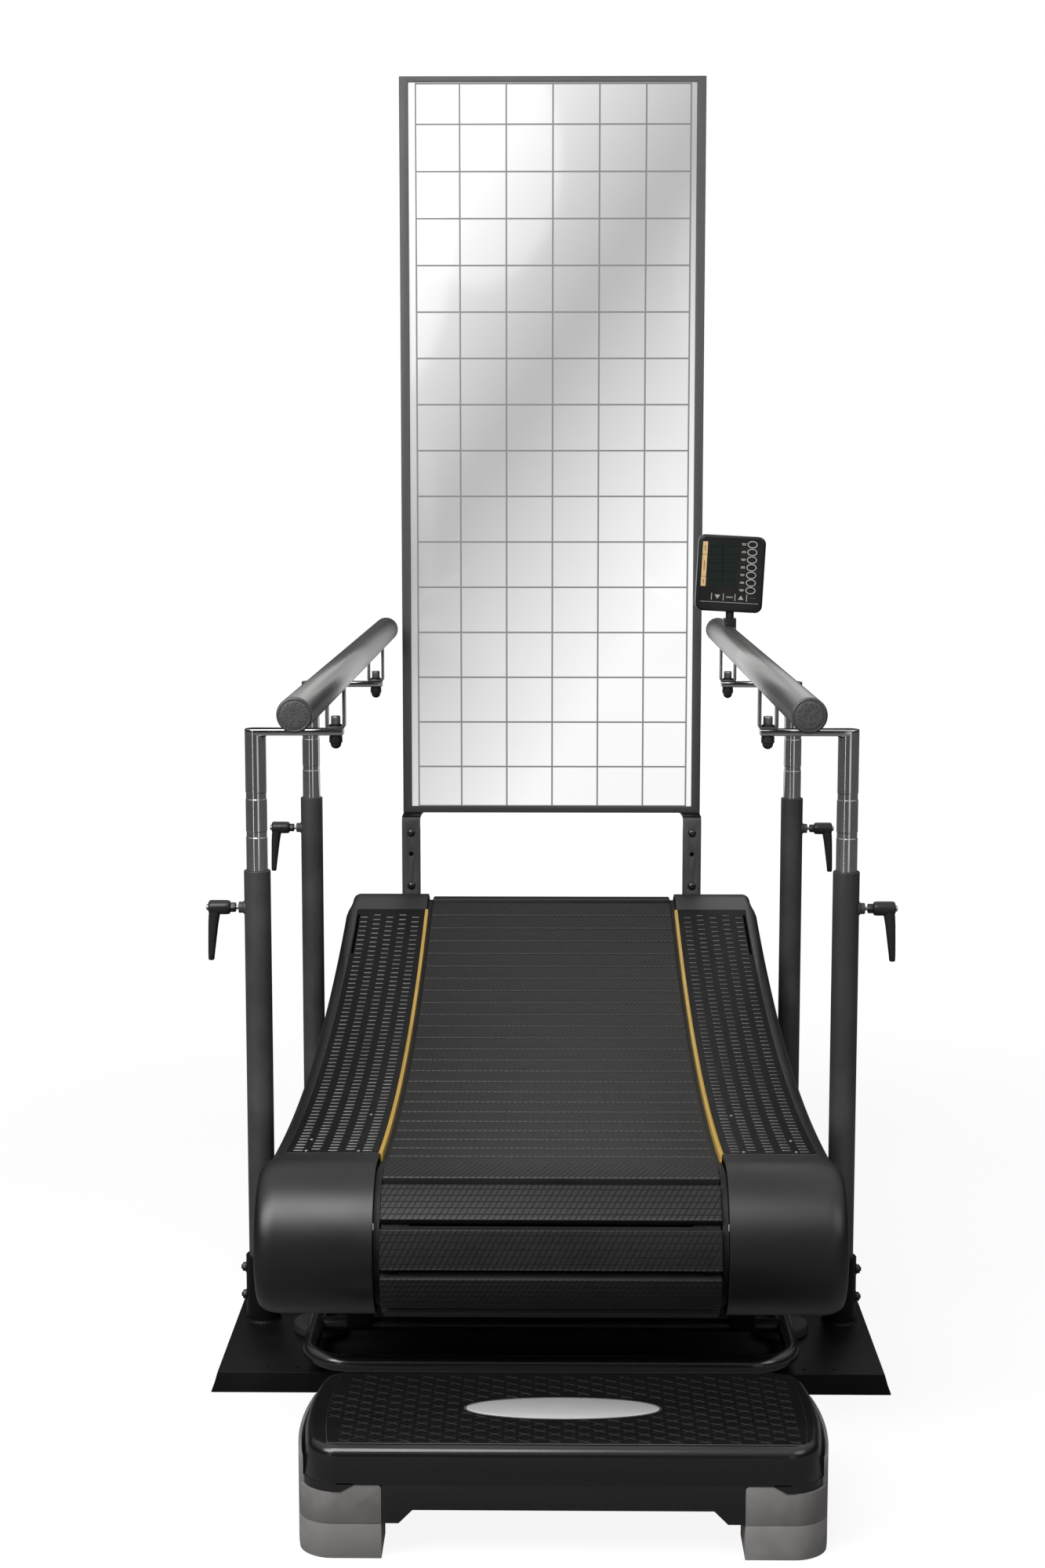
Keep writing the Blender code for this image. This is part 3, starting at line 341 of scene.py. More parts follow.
def sharp(made, angle):
    """Keeps the edges sharp that turn by more than this angle."""
    made.data.set_sharp_from_angle(angle=math.radians(angle))
    return made


def baked(made, angle=35.0):
    """The evaluated shape as a plain mesh, with smooth shading below the given angle."""
    graph = bpy.context.evaluated_depsgraph_get()
    mesh = bpy.data.meshes.new_from_object(made.evaluated_get(graph))
    made.modifiers.clear()
    made.data = mesh
    mesh.shade_smooth()
    return sharp(made, angle)


def soften(made, width, segments=2, angle=30.0):
    """Rounds the edges, applies it, and shades the faces by their angle."""
    bevel = made.modifiers.new("edges", "BEVEL")
    bevel.width = width
    bevel.segments = segments
    bevel.limit_method = "ANGLE"
    bevel.angle_limit = math.radians(angle)
    bevel.harden_normals = False
    return baked(made, angle)


def painted(made, finish):
    made.data.materials.clear()
    made.data.materials.append(finish.material)
    return made


def merged(name, pieces):
    """Several loose pieces as one object, keeping each one's material."""
    joined = bmesh.new()
    materials = []
    for piece in pieces:
        start = len(joined.faces)
        joined.from_mesh(piece.data)
        joined.faces.ensure_lookup_table()
        slots = list(piece.data.materials)
        materials += [slot for slot in slots if slot not in materials]
        for face in joined.faces[start:]:
            face.material_index = materials.index(slots[face.material_index]) if slots else 0
    mesh = bpy.data.meshes.new(name)
    joined.to_mesh(mesh)
    joined.free()
    for slot in materials:
        mesh.materials.append(slot)
    made = bpy.data.objects.new(name, mesh)
    bpy.context.scene.collection.objects.link(made)
    for piece in pieces:
        bpy.data.objects.remove(piece, do_unlink=True)
    return made


def fitted(made, body, slot, *nodes):
    """Attaches the piece to what it rides on and hides the solids it stands for; the slot is not used."""
    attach(made, body)
    if nodes:
        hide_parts(*nodes)


def dressed(name, pieces, angle, body, slot):
    """Loose pieces as one, in place of the solid of this name."""
    fitted(sharp(merged(name + "_dressed", pieces), angle), body, slot, name)


def powder_coat(name, colour, rough, grain=0.0009, depth=0.00012, specular=0.35):
    """Satin coat: fine orange peel, a faint change of gloss and slightly paler dusty patches."""
    coat = Finish(name, colour, rough, specular_ior_level=specular)
    peel = coat.noise(grain)
    cloud = coat.noise(0.09, 3.0)
    paler = tuple(c * 1.55 for c in colour)
    coat.feed("Base Color", coat.mixed(coat.stretch(cloud, 0.42, 0.72), colour, paler))
    coat.feed("Roughness", coat.stretch(peel + cloud, 0.6, 1.4, rough - 0.06, rough + 0.08))
    coat.bump(peel, depth)
    return coat


def bare_metal(name, colour, rough, lumps, detail=2.0):
    """Plain metal whose gloss changes a little from place to place."""
    metal = Finish(name, colour, sum(rough) / 2, 1.0)
    metal.feed("Roughness", metal.stretch(metal.noise(lumps, detail), 0.3, 0.7, *rough))
    return metal


PLATE_COAT = powder_coat("plate_powder_coat", (0.0045, 0.0045, 0.0048), 0.38, specular=0.09)
BARE_STEEL = bare_metal("zinc_steel", (0.30, 0.30, 0.31), (0.26, 0.42), 0.003)
BLACK_STEEL = powder_coat("black_oxide", (0.014, 0.014, 0.015), 0.33, 0.0006, 0.00005)


def weld_bead(x, y, z, radius, thick):
    """A rippled fillet round the foot of a tube."""
    loops = []
    for k in range(96):
        angle = 2 * math.pi * k / 96
        ripple = thick * (0.88 + 0.12 * math.sin(k * 2.1))
        loop = []
        for out, rise in ((0.0, ripple), (ripple * 0.55, ripple * 0.5), (ripple, 0.0), (0.0, -0.0005)):
            reach = radius - 0.0004 + out
            loop.append((x + reach * math.cos(angle), y + reach * math.sin(angle), z + rise))
        loops.append(loop)
    return skin(loops, closed=True)


def hex_bolt(x, y, z, side):
    """A washer, a hex head with a chamfered crown and the tip of its thread, pointing sideways."""
    pieces = []
    for profile, sides in ((WASHER, 32), (HEX_HEAD, 6), (BOLT_TIP, 24)):
        ring = turned(shifted(profile, 0.0, side * (SOCKET_R - 0.0012), side), "X", (x, y, z), sides)
        pieces.append(painted(soften(ring, 0.0003) if profile is HEX_HEAD else ring, BLACK_STEEL))
    return pieces


def base_plate(name, end):
    y0, y1 = sorted(MIDDLE_Y + end * v for v in PLATE_V)
    bottom, top = PLATE_HALF
    loops = []
    for less, lean, z in (*PLATE_FOLD, (bottom - top, PLATE_LEAN, PLATE_TOP)):
        half, near, far = bottom - less, y0 + lean, y1 - lean
        loops.append([(-half, near, z), (half, near, z), (half, far, z), (-half, far, z)])
    narrower, ceiling = PLATE_HOLLOW
    loops.insert(0, [(x * narrower, y, ceiling) for x, y, _ in loops[0]])
    pieces = [painted(soften(skin(loops, smooth=False), 0.0022, 3, 20.0), PLATE_COAT)]
    y = MIDDLE_Y + end * POST_V
    for side in (-1, 1):
        x = side * POST_X
        sleeve = [(SOCKET_R, PLATE_TOP - 0.001), (SOCKET_R, SOCKET_TOP - 0.0012),
                  (SOCKET_R - 0.0012, SOCKET_TOP), (SOCKET_BORE + 0.0006, SOCKET_TOP),
                  (SOCKET_BORE, SOCKET_TOP - 0.001), (SOCKET_BORE, PLATE_TOP - 0.001)]
        pieces.append(painted(turned(sleeve, "Z", (x, y, 0), 56, closed=True), PLATE_COAT))
        pieces.append(painted(weld_bead(x, y, PLATE_TOP, SOCKET_R, WELD), PLATE_COAT))
        for z in SOCKET_BOLTS:
            pieces += hex_bolt(x, y, z, side)
        for inner in RIVET_IN:
            place = (side * (top - inner), y0 + RIVET_EDGE if end < 0 else y1 - RIVET_EDGE, PLATE_TOP)
            pieces.append(painted(turned(RIVET, "Z", place, 20), PLATE_COAT))
    dressed(name, pieces, 35, "base", "satin_black")


base_plate("rear_base_plate", -1)
base_plate("front_base_plate", 1)


# Base ring: one loop of 25 mm steel tube, bent at the corners, that carries the treadmill on four
# levelling feet. Cross tubes and square uprights are welded in; two flat bars rise to the mirror.
SIDES = (("left", -1), ("right", 1))
ENDS = (("rear", -1), ("front", 1))
RING_R = 0.0125
RING_X = 0.3675
RING_V = 0.7325
RING_Z = 0.066
RING_CORNER = 0.0675
CROSS_V = 0.560
CROSS_R = 0.011
FOOT_V = 0.492
FOOT_THICK = 0.016
FOOT_DISC = ((0.043, -0.0157), (0.044, -0.0147), (0.044, -0.004), (0.0428, -0.0012), (0.040, 0.0),
             (0.014, -0.0004), (0.0105, 0.0026), (0.0065, 0.0030))
FOOT_NUT = ((0.0086, 0.0), (0.0098, 0.0009), (0.0098, 0.0060), (0.0086, 0.0069))
BOLT_HOLE = 0.0045
LEG_X = (0.2720, 0.3098)
BAR_V = (0.7400, 0.7460)
BAR_Z = (0.060, 0.665)
BAR_HOLES = (0.5447, 0.6558)
UPRIGHT_X = (0.280, 0.320)
UPRIGHT_HALF = 0.020
UPRIGHT_TOP = (0.2995, 0.4300)
GLOSS_BLACK = powder_coat("ring_gloss_coat", (0.009, 0.009, 0.0095), 0.22, 0.0016, 0.00004, 0.75)
RUBBER_FOOT = powder_coat("foot_rubber", (0.018, 0.018, 0.019), 0.55, 0.0012, 0.0001)


def arc(a, b, radius, start, stop, steps):
    """Points on an arc about (a, b), between two angles in degrees."""
    angles = [math.radians(start + (stop - start) * k / steps) for k in range(steps + 1)]
    return [(a + radius * math.cos(angle), b + radius * math.sin(angle)) for angle in angles]


def rounded(half_a, half_b, radius, steps):
    """A rectangle about (0, 0) with round corners."""
    outline = []
    for corner, (sign_a, sign_b) in enumerate(((1, 1), (-1, 1), (-1, -1), (1, -1))):
        a, b = sign_a * (half_a - radius), sign_b * (half_b - radius)
        outline += arc(a, b, radius, 90 * corner, 90 * corner + 90, steps)
    return outline


def span(side, near, far):
    """The lower and the upper X of two distances from the middle, on one side."""
    return sorted((side * near, side * far))


def drill(axis, centre, low, high, radius=BOLT_HOLE, sides=32):
    return turned([(radius, low), (radius, high)], axis, centre, sides)


def bored(made, drills, operation="DIFFERENCE"):
    """Takes the drills out of a piece, or unites them with it, and removes them."""
    for tool in drills:
        step = made.modifiers.new(tool.name, "BOOLEAN")
        step.operation = operation
        step.solver = "EXACT"
        step.object = tool
    baked(made)
    for tool in drills:
        bpy.data.objects.remove(tool, do_unlink=True)
    return made


def thread(start, stop, radius, depth, pitch):
    """Profile of a screw thread, as one ring for every turn."""
    profile = []
    while start < stop:
        profile += [(radius, start), (radius - depth, start + pitch / 2)]
        start += pitch
    return profile


def tube_ring(sides=24, bends=14):
    loops = []
    for k in range(sides):
        turn = 2 * math.pi * k / sides
        out, rise = RING_R * math.cos(turn), RING_R * math.sin(turn)
        outline = rounded(RING_X + out, RING_V + out, RING_CORNER + out, bends)
        loops.append([(x, y + MIDDLE_Y, RING_Z + rise) for x, y in outline])
    return skin(loops, closed=True)


def flat_bar(side):
    """A mirror bar with its two holes, the edges lightly broken."""
    x0, x1 = span(side, *LEG_X)
    near, far = [v + MIDDLE_Y for v in BAR_V]
    bar = block((x0, near, BAR_Z[0]), (x1, far, BAR_Z[1]))
    middle = (x0 + x1) / 2
    holes = [drill("Y", (middle, 0, z), near - 0.01, far + 0.01, sides=24) for z in BAR_HOLES]
    return soften(bored(bar, holes), 0.0008)


def base_ring():
    pieces = [painted(tube_ring(), GLOSS_BLACK)]
    for v, top in zip((-CROSS_V, CROSS_V), UPRIGHT_TOP):
        y = v + MIDDLE_Y
        pieces.append(painted(drill("X", (0, y, RING_Z), -RING_X, RING_X, CROSS_R, 24), GLOSS_BLACK))
        for side in (-1, 1):
            x0, x1 = span(side, *UPRIGHT_X)
            upright = block((x0, y - UPRIGHT_HALF, RING_Z), (x1, y + UPRIGHT_HALF, top))
            pieces.append(painted(soften(upright, 0.003, 3), PLATE_COAT))
    pieces += [painted(flat_bar(side), PLATE_COAT) for side in (-1, 1)]
    dressed("base_frame", pieces, 40, "base", "satin_black")


def foot(name, x, y):
    """Rubber footed disc with its threaded stud and lock nut."""
    top, nut = PLATE_TOP + FOOT_THICK, RING_Z + RING_R + GAP
    disc = turned(shifted(FOOT_DISC, along=top), "Z", (x, y, 0), 64)
    turns = thread(top + 0.0035, nut + 0.0120, 0.0060, 0.0007, 0.0012)
    stud = [(0.0060, top + 0.002), *turns, (0.0045, nut + 0.0130)]
    ring = turned(shifted(FOOT_NUT, along=nut), "Z", (x, y, 0), 6)
    pieces = [painted(disc, RUBBER_FOOT), painted(turned(stud, "Z", (x, y, 0), 24), BARE_STEEL),
              painted(soften(ring, 0.0003), BLACK_STEEL)]
    dressed(name, pieces, 35, name, "black_plastic")


base_ring()
for side_name, side in SIDES:
    for end_name, end in ENDS:
        foot(f"{side_name}_{end_name}_foot", side * RING_X, MIDDLE_Y + end * FOOT_V)


# Posts: 42.4 mm steel tube with a coarse black powder coat, clamped upright in the sockets. A short
# threaded boss is welded on the outer side for the clamp lever, and a plastic guide ring closes the top.
POST_R = 0.0212
POST_BORE = 0.0176
POST_TOP = 0.769
LEVER_Z = 0.709
GUIDE_RING = ((0.0176, -0.006), (0.0176, 0.0002), (0.0173, 0.0005), (0.01715, 0.0003), (0.01702, -0.006))
BOSS = ((0.0112, 0.0182), (0.0108, 0.0216), (0.0090, 0.0234), (0.0090, 0.0292), (0.0082, 0.0300),
        (0.0035, 0.0300), (0.0035, 0.0182))
POST_COAT = powder_coat("post_powder_coat", (0.040, 0.040, 0.042), 0.44, 0.0013, 0.00034)
GUIDE_PLASTIC = powder_coat("guide_plastic", (0.012, 0.012, 0.012), 0.5, 0.002, 0.00002)


def post(name, x, y, out):
    low, high = PLATE_TOP + GAP, POST_TOP
    tube = [(POST_R, low), (POST_R, high - 0.0012), (POST_R - 0.0010, high), (POST_BORE + 0.0004, high),
            (POST_BORE, high - 0.0008), (POST_BORE, low)]
    ring = shifted(GUIDE_RING, along=POST_TOP)
    pieces = [painted(turned(tube, "Z", (x, y, 0), 72, closed=True), POST_COAT),
              painted(turned(ring, "Z", (x, y, 0), 72, closed=True), GUIDE_PLASTIC),
              painted(turned(shifted(BOSS, sign=out), "X", (x, y, LEVER_Z), 40, closed=True), POST_COAT)]
    dressed(name, pieces, 38, "base", "satin_black")


# Chrome tubes: 33.7 mm steel tube, ground, plated and polished, sliding and turning in the posts. Two
# turned bands mark the usual heights. A flat bar is welded across the top and reaches in to the rail.
TUBE_R = 0.01685
TUBE_BORE = 0.01485
TUBE_Z = (0.455, 0.995)
BANDS = ((0.822, 0.832), (0.883, 0.894))
BAND_DEPTH = 0.0007
ARM_THICK = 0.010
ARM_REACH = 0.1395
ARM_END_HALF = 0.0122
THROUGH = (0.9, 1.1)
PIVOT_X = 0.340
ARM_WELD = ((-0.0006, -0.0042), (0.0006, -0.0012), (0.0040, 0.0004), (-0.0008, 0.0006))
ARM_WELD_TURN = 62
BUSH = ((0.0162, -0.020), (0.01715, -0.0192), (0.01715, -0.0008), (0.0166, 0.0), (0.01445, 0.0),
        (0.01445, 0.0242), (0.01345, 0.025))


def chrome_plate(name, tint, rough):
    """Bright plating with a faint draw along the tube and a little haze."""
    plate = Finish(name, tint, rough, 1.0)
    haze = plate.noise(0.012, 3.0, (1.0, 1.0, 0.25))
    plate.feed("Roughness", plate.stretch(haze, 0.35, 0.75, rough - 0.02, rough + 0.08))
    plate.feed("Base Color", plate.mixed(plate.stretch(haze, 0.3, 0.8), tint, tuple(c * 0.82 for c in tint)))
    plate.bump(plate.noise(0.0006, 1.0), 0.000006)
    return plate


CHROME = chrome_plate("chrome_plate", (0.60, 0.60, 0.61), 0.07)
NYLON = powder_coat("natural_nylon", (0.62, 0.61, 0.57), 0.45, 0.004, 0.00002)


def chrome_arm(name, x, y, inward):
    low, high = TUBE_Z
    under = high - ARM_THICK
    profile = [(TUBE_R - 0.0008, low), (TUBE_R, low + 0.0008)]
    for band_low, band_high in BANDS:
        profile += [(TUBE_R, band_low - GAP), (TUBE_R - BAND_DEPTH, band_low + 0.0007),
                    (TUBE_R - BAND_DEPTH, band_high - 0.0007), (TUBE_R, band_high + GAP)]
    profile += [(TUBE_R, high - ARM_THICK / 2), (TUBE_BORE, high - ARM_THICK / 2), (TUBE_BORE, low)]
    tube = sharp(painted(turned(profile, "Z", (x, y, 0), 72, closed=True), CHROME), 30)
    outline = [(ARM_REACH, ARM_END_HALF), (ARM_REACH, -ARM_END_HALF)] + arc(0, 0, TUBE_R, 270, 90, 32)
    bar = prism([(x + inward * a, y + b) for a, b in outline], "Z", under, high)
    hole = drill("Z", (x + inward * (POST_X - PIVOT_X), y, 0), *THROUGH)
    bar = painted(soften(bored(bar, [hole]), 0.0016, 3, 50.0), CHROME)
    fillet = []
    for out, rise in ARM_WELD:
        line = arc(0, 0, TUBE_R + out, -ARM_WELD_TURN, ARM_WELD_TURN, 24)
        fillet.append([(x + inward * a, y + b, under + rise) for a, b in line])
    weld = painted(skin([list(ring) for ring in zip(*fillet)]), CHROME)
    fitted(merged(name + "_dressed", [tube, bar, weld]), name[:-5] + "_arm", "chrome", name)


def guide_bush(name, x, y):
    bush = turned(shifted(BUSH, along=TUBE_Z[0] - GAP), "Z", (x, y, 0), 56)
    dressed(name, [painted(bush, NYLON)], 38, name[:-5] + "_guide", "white_nylon")


# Pivot bolts: a socket cap screw over a washer, down through the bracket and the arm, held below by a
# domed cap nut in black. The arm turns in the bracket about it.
BOLT_HEAD_R = 0.0074
BOLT_HEAD_TOP = 1.0150
BOLT_HEAD = ((0.97, -0.0130), (1.0, -0.0126), (1.0, -0.0018), (0.965, -0.0006), (0.90, 0.0))
BOLT_SIDES = 72
KNURL = 0.00025
KEY_HALF = 0.0034
KEY_DEEP = (0.0, -0.0002, -0.0042)
CAP_BOTTOM = 0.963
CAP_NUT = ((0.0005, 0.0), (0.0034, 0.0006), (0.0062, 0.0024), (0.0081, 0.0052), (0.0087, 0.0082),
           (0.0087, 0.0094), (0.0098, 0.0098), (0.0105, 0.0106))
STRAP = 0.004
FLAT_WASHER = ((0.0096, 0.0), (0.0100, 0.0004), (0.0100, 0.0016), (0.0096, 0.0020))
CAP_PLASTIC = powder_coat("cap_nut_plastic", (0.013, 0.013, 0.014), 0.30, 0.003, 0.00003)


def ring_of(radii, x, y, z):
    """A level ring about (x, y) with its own radius at every corner."""
    step = 2 * math.pi / len(radii)
    return [(x + r * math.cos(k * step), y + r * math.sin(k * step), z) for k, r in enumerate(radii)]


def pivot_bolt(name, x, y):
    over = TUBE_Z[1] + STRAP + 2 * GAP
    under = TUBE_Z[1] - ARM_THICK - GAP
    washers = [turned(shifted(FLAT_WASHER, along=z), "Z", (x, y, 0), 48) for z in (over, under - 0.002)]
    knurled = [BOLT_HEAD_R - KNURL * (k % 2) for k in range(BOLT_SIDES)]
    hexagon = [KEY_HALF / math.cos(math.radians((k * 5 + 30) % 60 - 30)) for k in range(BOLT_SIDES)]
    loops = [ring_of([r * scale for r in knurled], x, y, BOLT_HEAD_TOP + rise) for scale, rise in BOLT_HEAD]
    loops += [ring_of(hexagon, x, y, BOLT_HEAD_TOP + depth) for depth in KEY_DEEP]
    shank = drill("Z", (x, y, 0), under - 0.001, over + 0.001, 0.0040, 24)
    dome = [*shifted(CAP_NUT, along=CAP_BOTTOM), (0.0105, under - 0.0028), (0.0099, under - 0.0020)]
    pieces = [painted(piece, BARE_STEEL) for piece in (skin(loops), shank)]
    pieces += [painted(piece, BLACK_STEEL) for piece in washers]
    pieces.append(painted(turned(dome, "Z", (x, y, 0), 48), CAP_PLASTIC))
    dressed(name, pieces, 32, name[:-11] + "_arm", "satin_black")


# Rail brackets: a 4 mm steel strap bent into a U, its legs cut to the round of the rail and welded
# to it, its foot resting on the arm.
BRACKET_HALF = 0.0155
BRACKET_DEPTH = 0.028
BRACKET_BEND = (0.0050, 0.0014)
RAIL_R = 0.02415
RAIL_Z = 1.0765
STRAP_STEEL = bare_metal("strap_steel", (0.20, 0.20, 0.205), (0.28, 0.46), 0.004, 3.0)
STRAP_STEEL.bump(STRAP_STEEL.noise(0.0012), 0.00004)


def bracket(name, x, y, body):
    low, tall = TUBE_Z[1] + GAP, RAIL_Z - 0.010
    bend, inner = BRACKET_BEND
    outer_x, inner_x = BRACKET_HALF - bend, BRACKET_HALF - STRAP - inner
    outline = arc(-outer_x, bend, bend, 180, 270, 6) + arc(outer_x, bend, bend, 270, 360, 6)
    outline += [(BRACKET_HALF, tall - low), (BRACKET_HALF - STRAP, tall - low)]
    outline += arc(inner_x, STRAP + inner, inner, 0, -90, 4)
    outline += arc(-inner_x, STRAP + inner, inner, -90, -180, 4)
    outline += [(STRAP - BRACKET_HALF, tall - low), (-BRACKET_HALF, tall - low)]
    half = BRACKET_DEPTH / 2
    strap = prism([(x + a, low + b) for a, b in outline], "Y", y - half, y + half, name + "_strap")
    seat = drill("Y", (x, 0, RAIL_Z), y - 0.05, y + 0.05, RAIL_R + 0.0002, 96)
    hole = drill("Z", (x, y, 0), low - 0.01, low + 0.02)
    strap = painted(soften(bored(strap, [seat, hole]), 0.0006, 2, 40.0), STRAP_STEEL)
    fitted(strap, body, "satin_black", name)


# Clamp levers: die-cast black handles with a turned steel stud and collar. The hub pulls out against
# a spring so that the handle can be set at any angle; a small cross-head screw holds it on its end.
STUD_R = 0.0030
STUD_TIP = 0.0173
STUD_END = ((0.0032, 0.0303), (0.0032, 0.0350))
COLLAR = ((0.0072, 0.0345), (0.0082, 0.0352), (0.0082, 0.0424), (0.0076, 0.0430))
HUB = ((0.0078, 0.0432), (0.0104, 0.0444), (0.0112, 0.0470), (0.0115, 0.0500), (0.0115, 0.0735),
       (0.0112, 0.0756), (0.0100, 0.0775), (0.0078, 0.0783), (0.0058, 0.0783), (0.0056, 0.0776))
HUB_SCREW = ((0.0052, 0.0770), (0.0052, 0.0795), (0.0046, 0.0812), (0.0030, 0.0819), (0.0008, 0.0820))
HANDLE = ((0.0066, 0.0638, 0.0066, 0.0085), (0.0, 0.0664, 0.0092, 0.0100),
          (-0.012, 0.0694, 0.0090, 0.0092), (-0.028, 0.0712, 0.0080, 0.0080),
          (-0.044, 0.0724, 0.0071, 0.0070), (-0.060, 0.0736, 0.0062, 0.0064),
          (-0.074, 0.0746, 0.0054, 0.0060), (-0.0835, 0.0750, 0.0048, 0.0054),
          (-0.0850, 0.0750, 0.0038, 0.0044))
HANDLE_SQUARE = 2.6
CAST_BLACK = powder_coat("cast_lever_coat", (0.012, 0.012, 0.013), 0.34, 0.0016, 0.00008)


def lever(name, x, y, out):
    stud = [(STUD_R - 0.0006, STUD_TIP), (STUD_R, STUD_TIP + 0.0008),
            *thread(STUD_TIP + 0.0020, 0.0300, STUD_R, 0.0004, 0.0010), *STUD_END]
    steel, collar, hub, screw = [turned(shifted(profile, sign=out), "X", (x, y, LEVER_Z), sides)
                                 for profile, sides in ((stud, 36), (COLLAR, 6), (HUB, 48), (HUB_SCREW, 36))]
    loops = []
    for rise, along, half_x, half_y in HANDLE:
        loop = []
        for a, b in arc(0, 0, 1, 0, 360 - 360 / 28, 27):
            square = (abs(a) ** HANDLE_SQUARE + abs(b) ** HANDLE_SQUARE) ** (-1 / HANDLE_SQUARE)
            loop.append((x + out * along + half_x * a * square, y + half_y * b * square, LEVER_Z + rise))
        loops.append(loop)
    pieces = [painted(steel, BARE_STEEL), painted(soften(collar, 0.0002), BLACK_STEEL),
              painted(hub, CAST_BLACK), painted(screw, BARE_STEEL), painted(skin(loops), CAST_BLACK)]
    dressed(name, pieces, 40, name, "black_plastic")


# Hand rails: 48.3 mm aluminium tube, brushed lengthwise and anodised grey, closed at both ends by
# grained black caps with a smooth rim.
RAIL_V = (-1.055, 0.745)
RAIL_CAP = 0.005
RAIL_WALL = 0.003
RIM = ((-0.0044, 0.0245), (-0.0034, 0.0235), (-0.0034, 0.0052), (-0.0002, 0.0050), (0.0, 0.0042),
       (-0.0004, 0.0018), (-0.0018, 0.0006), (-0.0032, 0.0003), (-0.0042, 0.0008))
CAP_FACE = ((-0.0036, 0.0016), (-0.0046, 0.0008), (-0.00915, 0.0002), (-0.01715, 0.0), (-0.02315, 0.0))


def brushed_rail():
    rail = Finish("anodised_rail", (0.30, 0.30, 0.31), 0.28, 0.85)
    lines = rail.noise(0.0007, 3.0, (1.0, 0.012, 1.0))
    shade = rail.stretch(lines + rail.noise(0.12) * 0.5, 0.5, 1.0)
    rail.feed("Base Color", rail.mixed(shade, (0.385, 0.382, 0.378), (0.415, 0.412, 0.407)))
    rail.feed("Roughness", rail.stretch(lines, 0.3, 0.7, 0.22, 0.27))
    rail.bump(lines, 0.000004)
    return rail


def grained_cap():
    cap = Finish("grained_cap", (0.035, 0.035, 0.036), 0.55, specular_ior_level=0.4)
    grain = cap.node("ShaderNodeTexVoronoi", {"feature": "F1"}, {"Vector": cap.place(), "Scale": 520.0})
    speckle = cap.mixed(cap.stretch(grain, 0.1, 0.7), (0.085, 0.085, 0.087), (0.034, 0.034, 0.035))
    cap.feed("Base Color", speckle)
    cap.bump(grain, -0.0003)
    return cap


RAIL_FINISH = brushed_rail()
CAP_GRAIN = grained_cap()
CAP_RIM = powder_coat("cap_rim", (0.040, 0.040, 0.042), 0.35, 0.002, 0.00003)


def rail_tube(name, x):
    low, high = [v + MIDDLE_Y for v in RAIL_V]
    low, high = low + RAIL_CAP + GAP, high - RAIL_CAP - GAP
    bore, rim = RAIL_R - RAIL_WALL, RAIL_R - 0.0004
    wall = [(rim, low), (RAIL_R, low + 0.0006), (RAIL_R, high - 0.0006), (rim, high),
            (bore, high), (bore, low)]
    tube = painted(turned(wall, "Y", (x, 0, RAIL_Z), 96, closed=True), RAIL_FINISH)
    dressed(name, [tube], 38, name, "aluminium")


def rail_cap(name, x, end, body):
    tip = RAIL_V[end > 0] + MIDDLE_Y
    pieces = [painted(turned(shifted(profile, RAIL_R, tip, -end), "Y", (x, 0, RAIL_Z), 96), finish)
              for profile, finish in ((RIM, CAP_RIM), (CAP_FACE, CAP_GRAIN))]
    dressed(name, pieces, 38, body, "black_plastic")


for side_name, side in SIDES:
    rail = f"{side_name}_rail"
    rail_x, post_x = side * PIVOT_X, side * POST_X
    rail_tube(rail, rail_x)
    for end_name, end in ENDS:
        where = f"{side_name}_{end_name}"
        post_y = MIDDLE_Y + end * POST_V
        post(where + "_post", post_x, post_y, side)
        chrome_arm(where + "_tube", post_x, post_y, -side)
        guide_bush(where + "_bush", post_x, post_y)
        pivot_bolt(where + "_pivot_bolt", rail_x, post_y)
        bracket(where + "_bracket", rail_x, post_y, rail)
        lever(where + "_lever", post_x, post_y, side)
        rail_cap(where + "_rail_cap", rail_x, end, rail)


# Side frames and drums: curved steel side beams with bearing plates carry two drums on ball bearings.
# Almost all of this lies inside the covers and the belt, so the solids stay, in a dull black coat.
FRAME_COAT = powder_coat("frame_powder_coat", (0.008, 0.008, 0.0085), 0.55)
DRUM_COAT = powder_coat("drum_coat", (0.010, 0.010, 0.010), 0.50, 0.0014, 0.00006)
for name in ("left_side_frame", "right_side_frame", "rear_drum", "front_drum"):
    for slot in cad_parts[name].material_slots:
        slot.material = (DRUM_COAT if name.endswith("drum") else FRAME_COAT).material


# Slat belt: some sixty rubber faced slats on two toothed belts, following a concave arc on top and
# wrapping a drum at each end. Every slat has fine slanted and lengthwise grooves and a lip under its
# neighbour, which stops short of the ends.
ARC = (-0.453, 4.197)
ARC_R = 3.813
SLAT_R = 0.107
DRUM_V = (-0.851, 0.630)
BELT_PHASE = 0.69
PITCH_DEEP = 0.014
SLAT_HALF = 0.240
SLAT_PITCH = 0.060
SLAT_GAP = 0.0035
SLAT_UNDER = 0.001
SLAT_ROUND = 0.0022
SLAT_ENDS = ((0.0, 0.90), (0.0007, 0.975), (0.0018, 1.0))
LIP = (0.214, 0.0032, 0.0012, 0.0052)
BELT_X = (0.200, 0.2388)
BELT_RISE = (-0.0015, 0.0025)
TOOTH_PITCH = 0.0125
TOOTH = ((-0.0034, -0.0014), (-0.0024, -0.0035), (0.0024, -0.0035), (0.0034, -0.0014))
GROOVE_ACROSS = 0.0088
GROOVE_ALONG = 0.0101
GROOVE_LEAN = 0.52
GROOVE_WIDE = (0.00030, 0.00085)
EDGE_HIGHLIGHT_BAND = (0.0028, 0.0010)


def arc_point(radius, turn):
    """Y and Z on the running arc, `turn` from its lowest point."""
    return MIDDLE_Y + ARC[0] + radius * math.sin(turn), ARC[1] - radius * math.cos(turn)


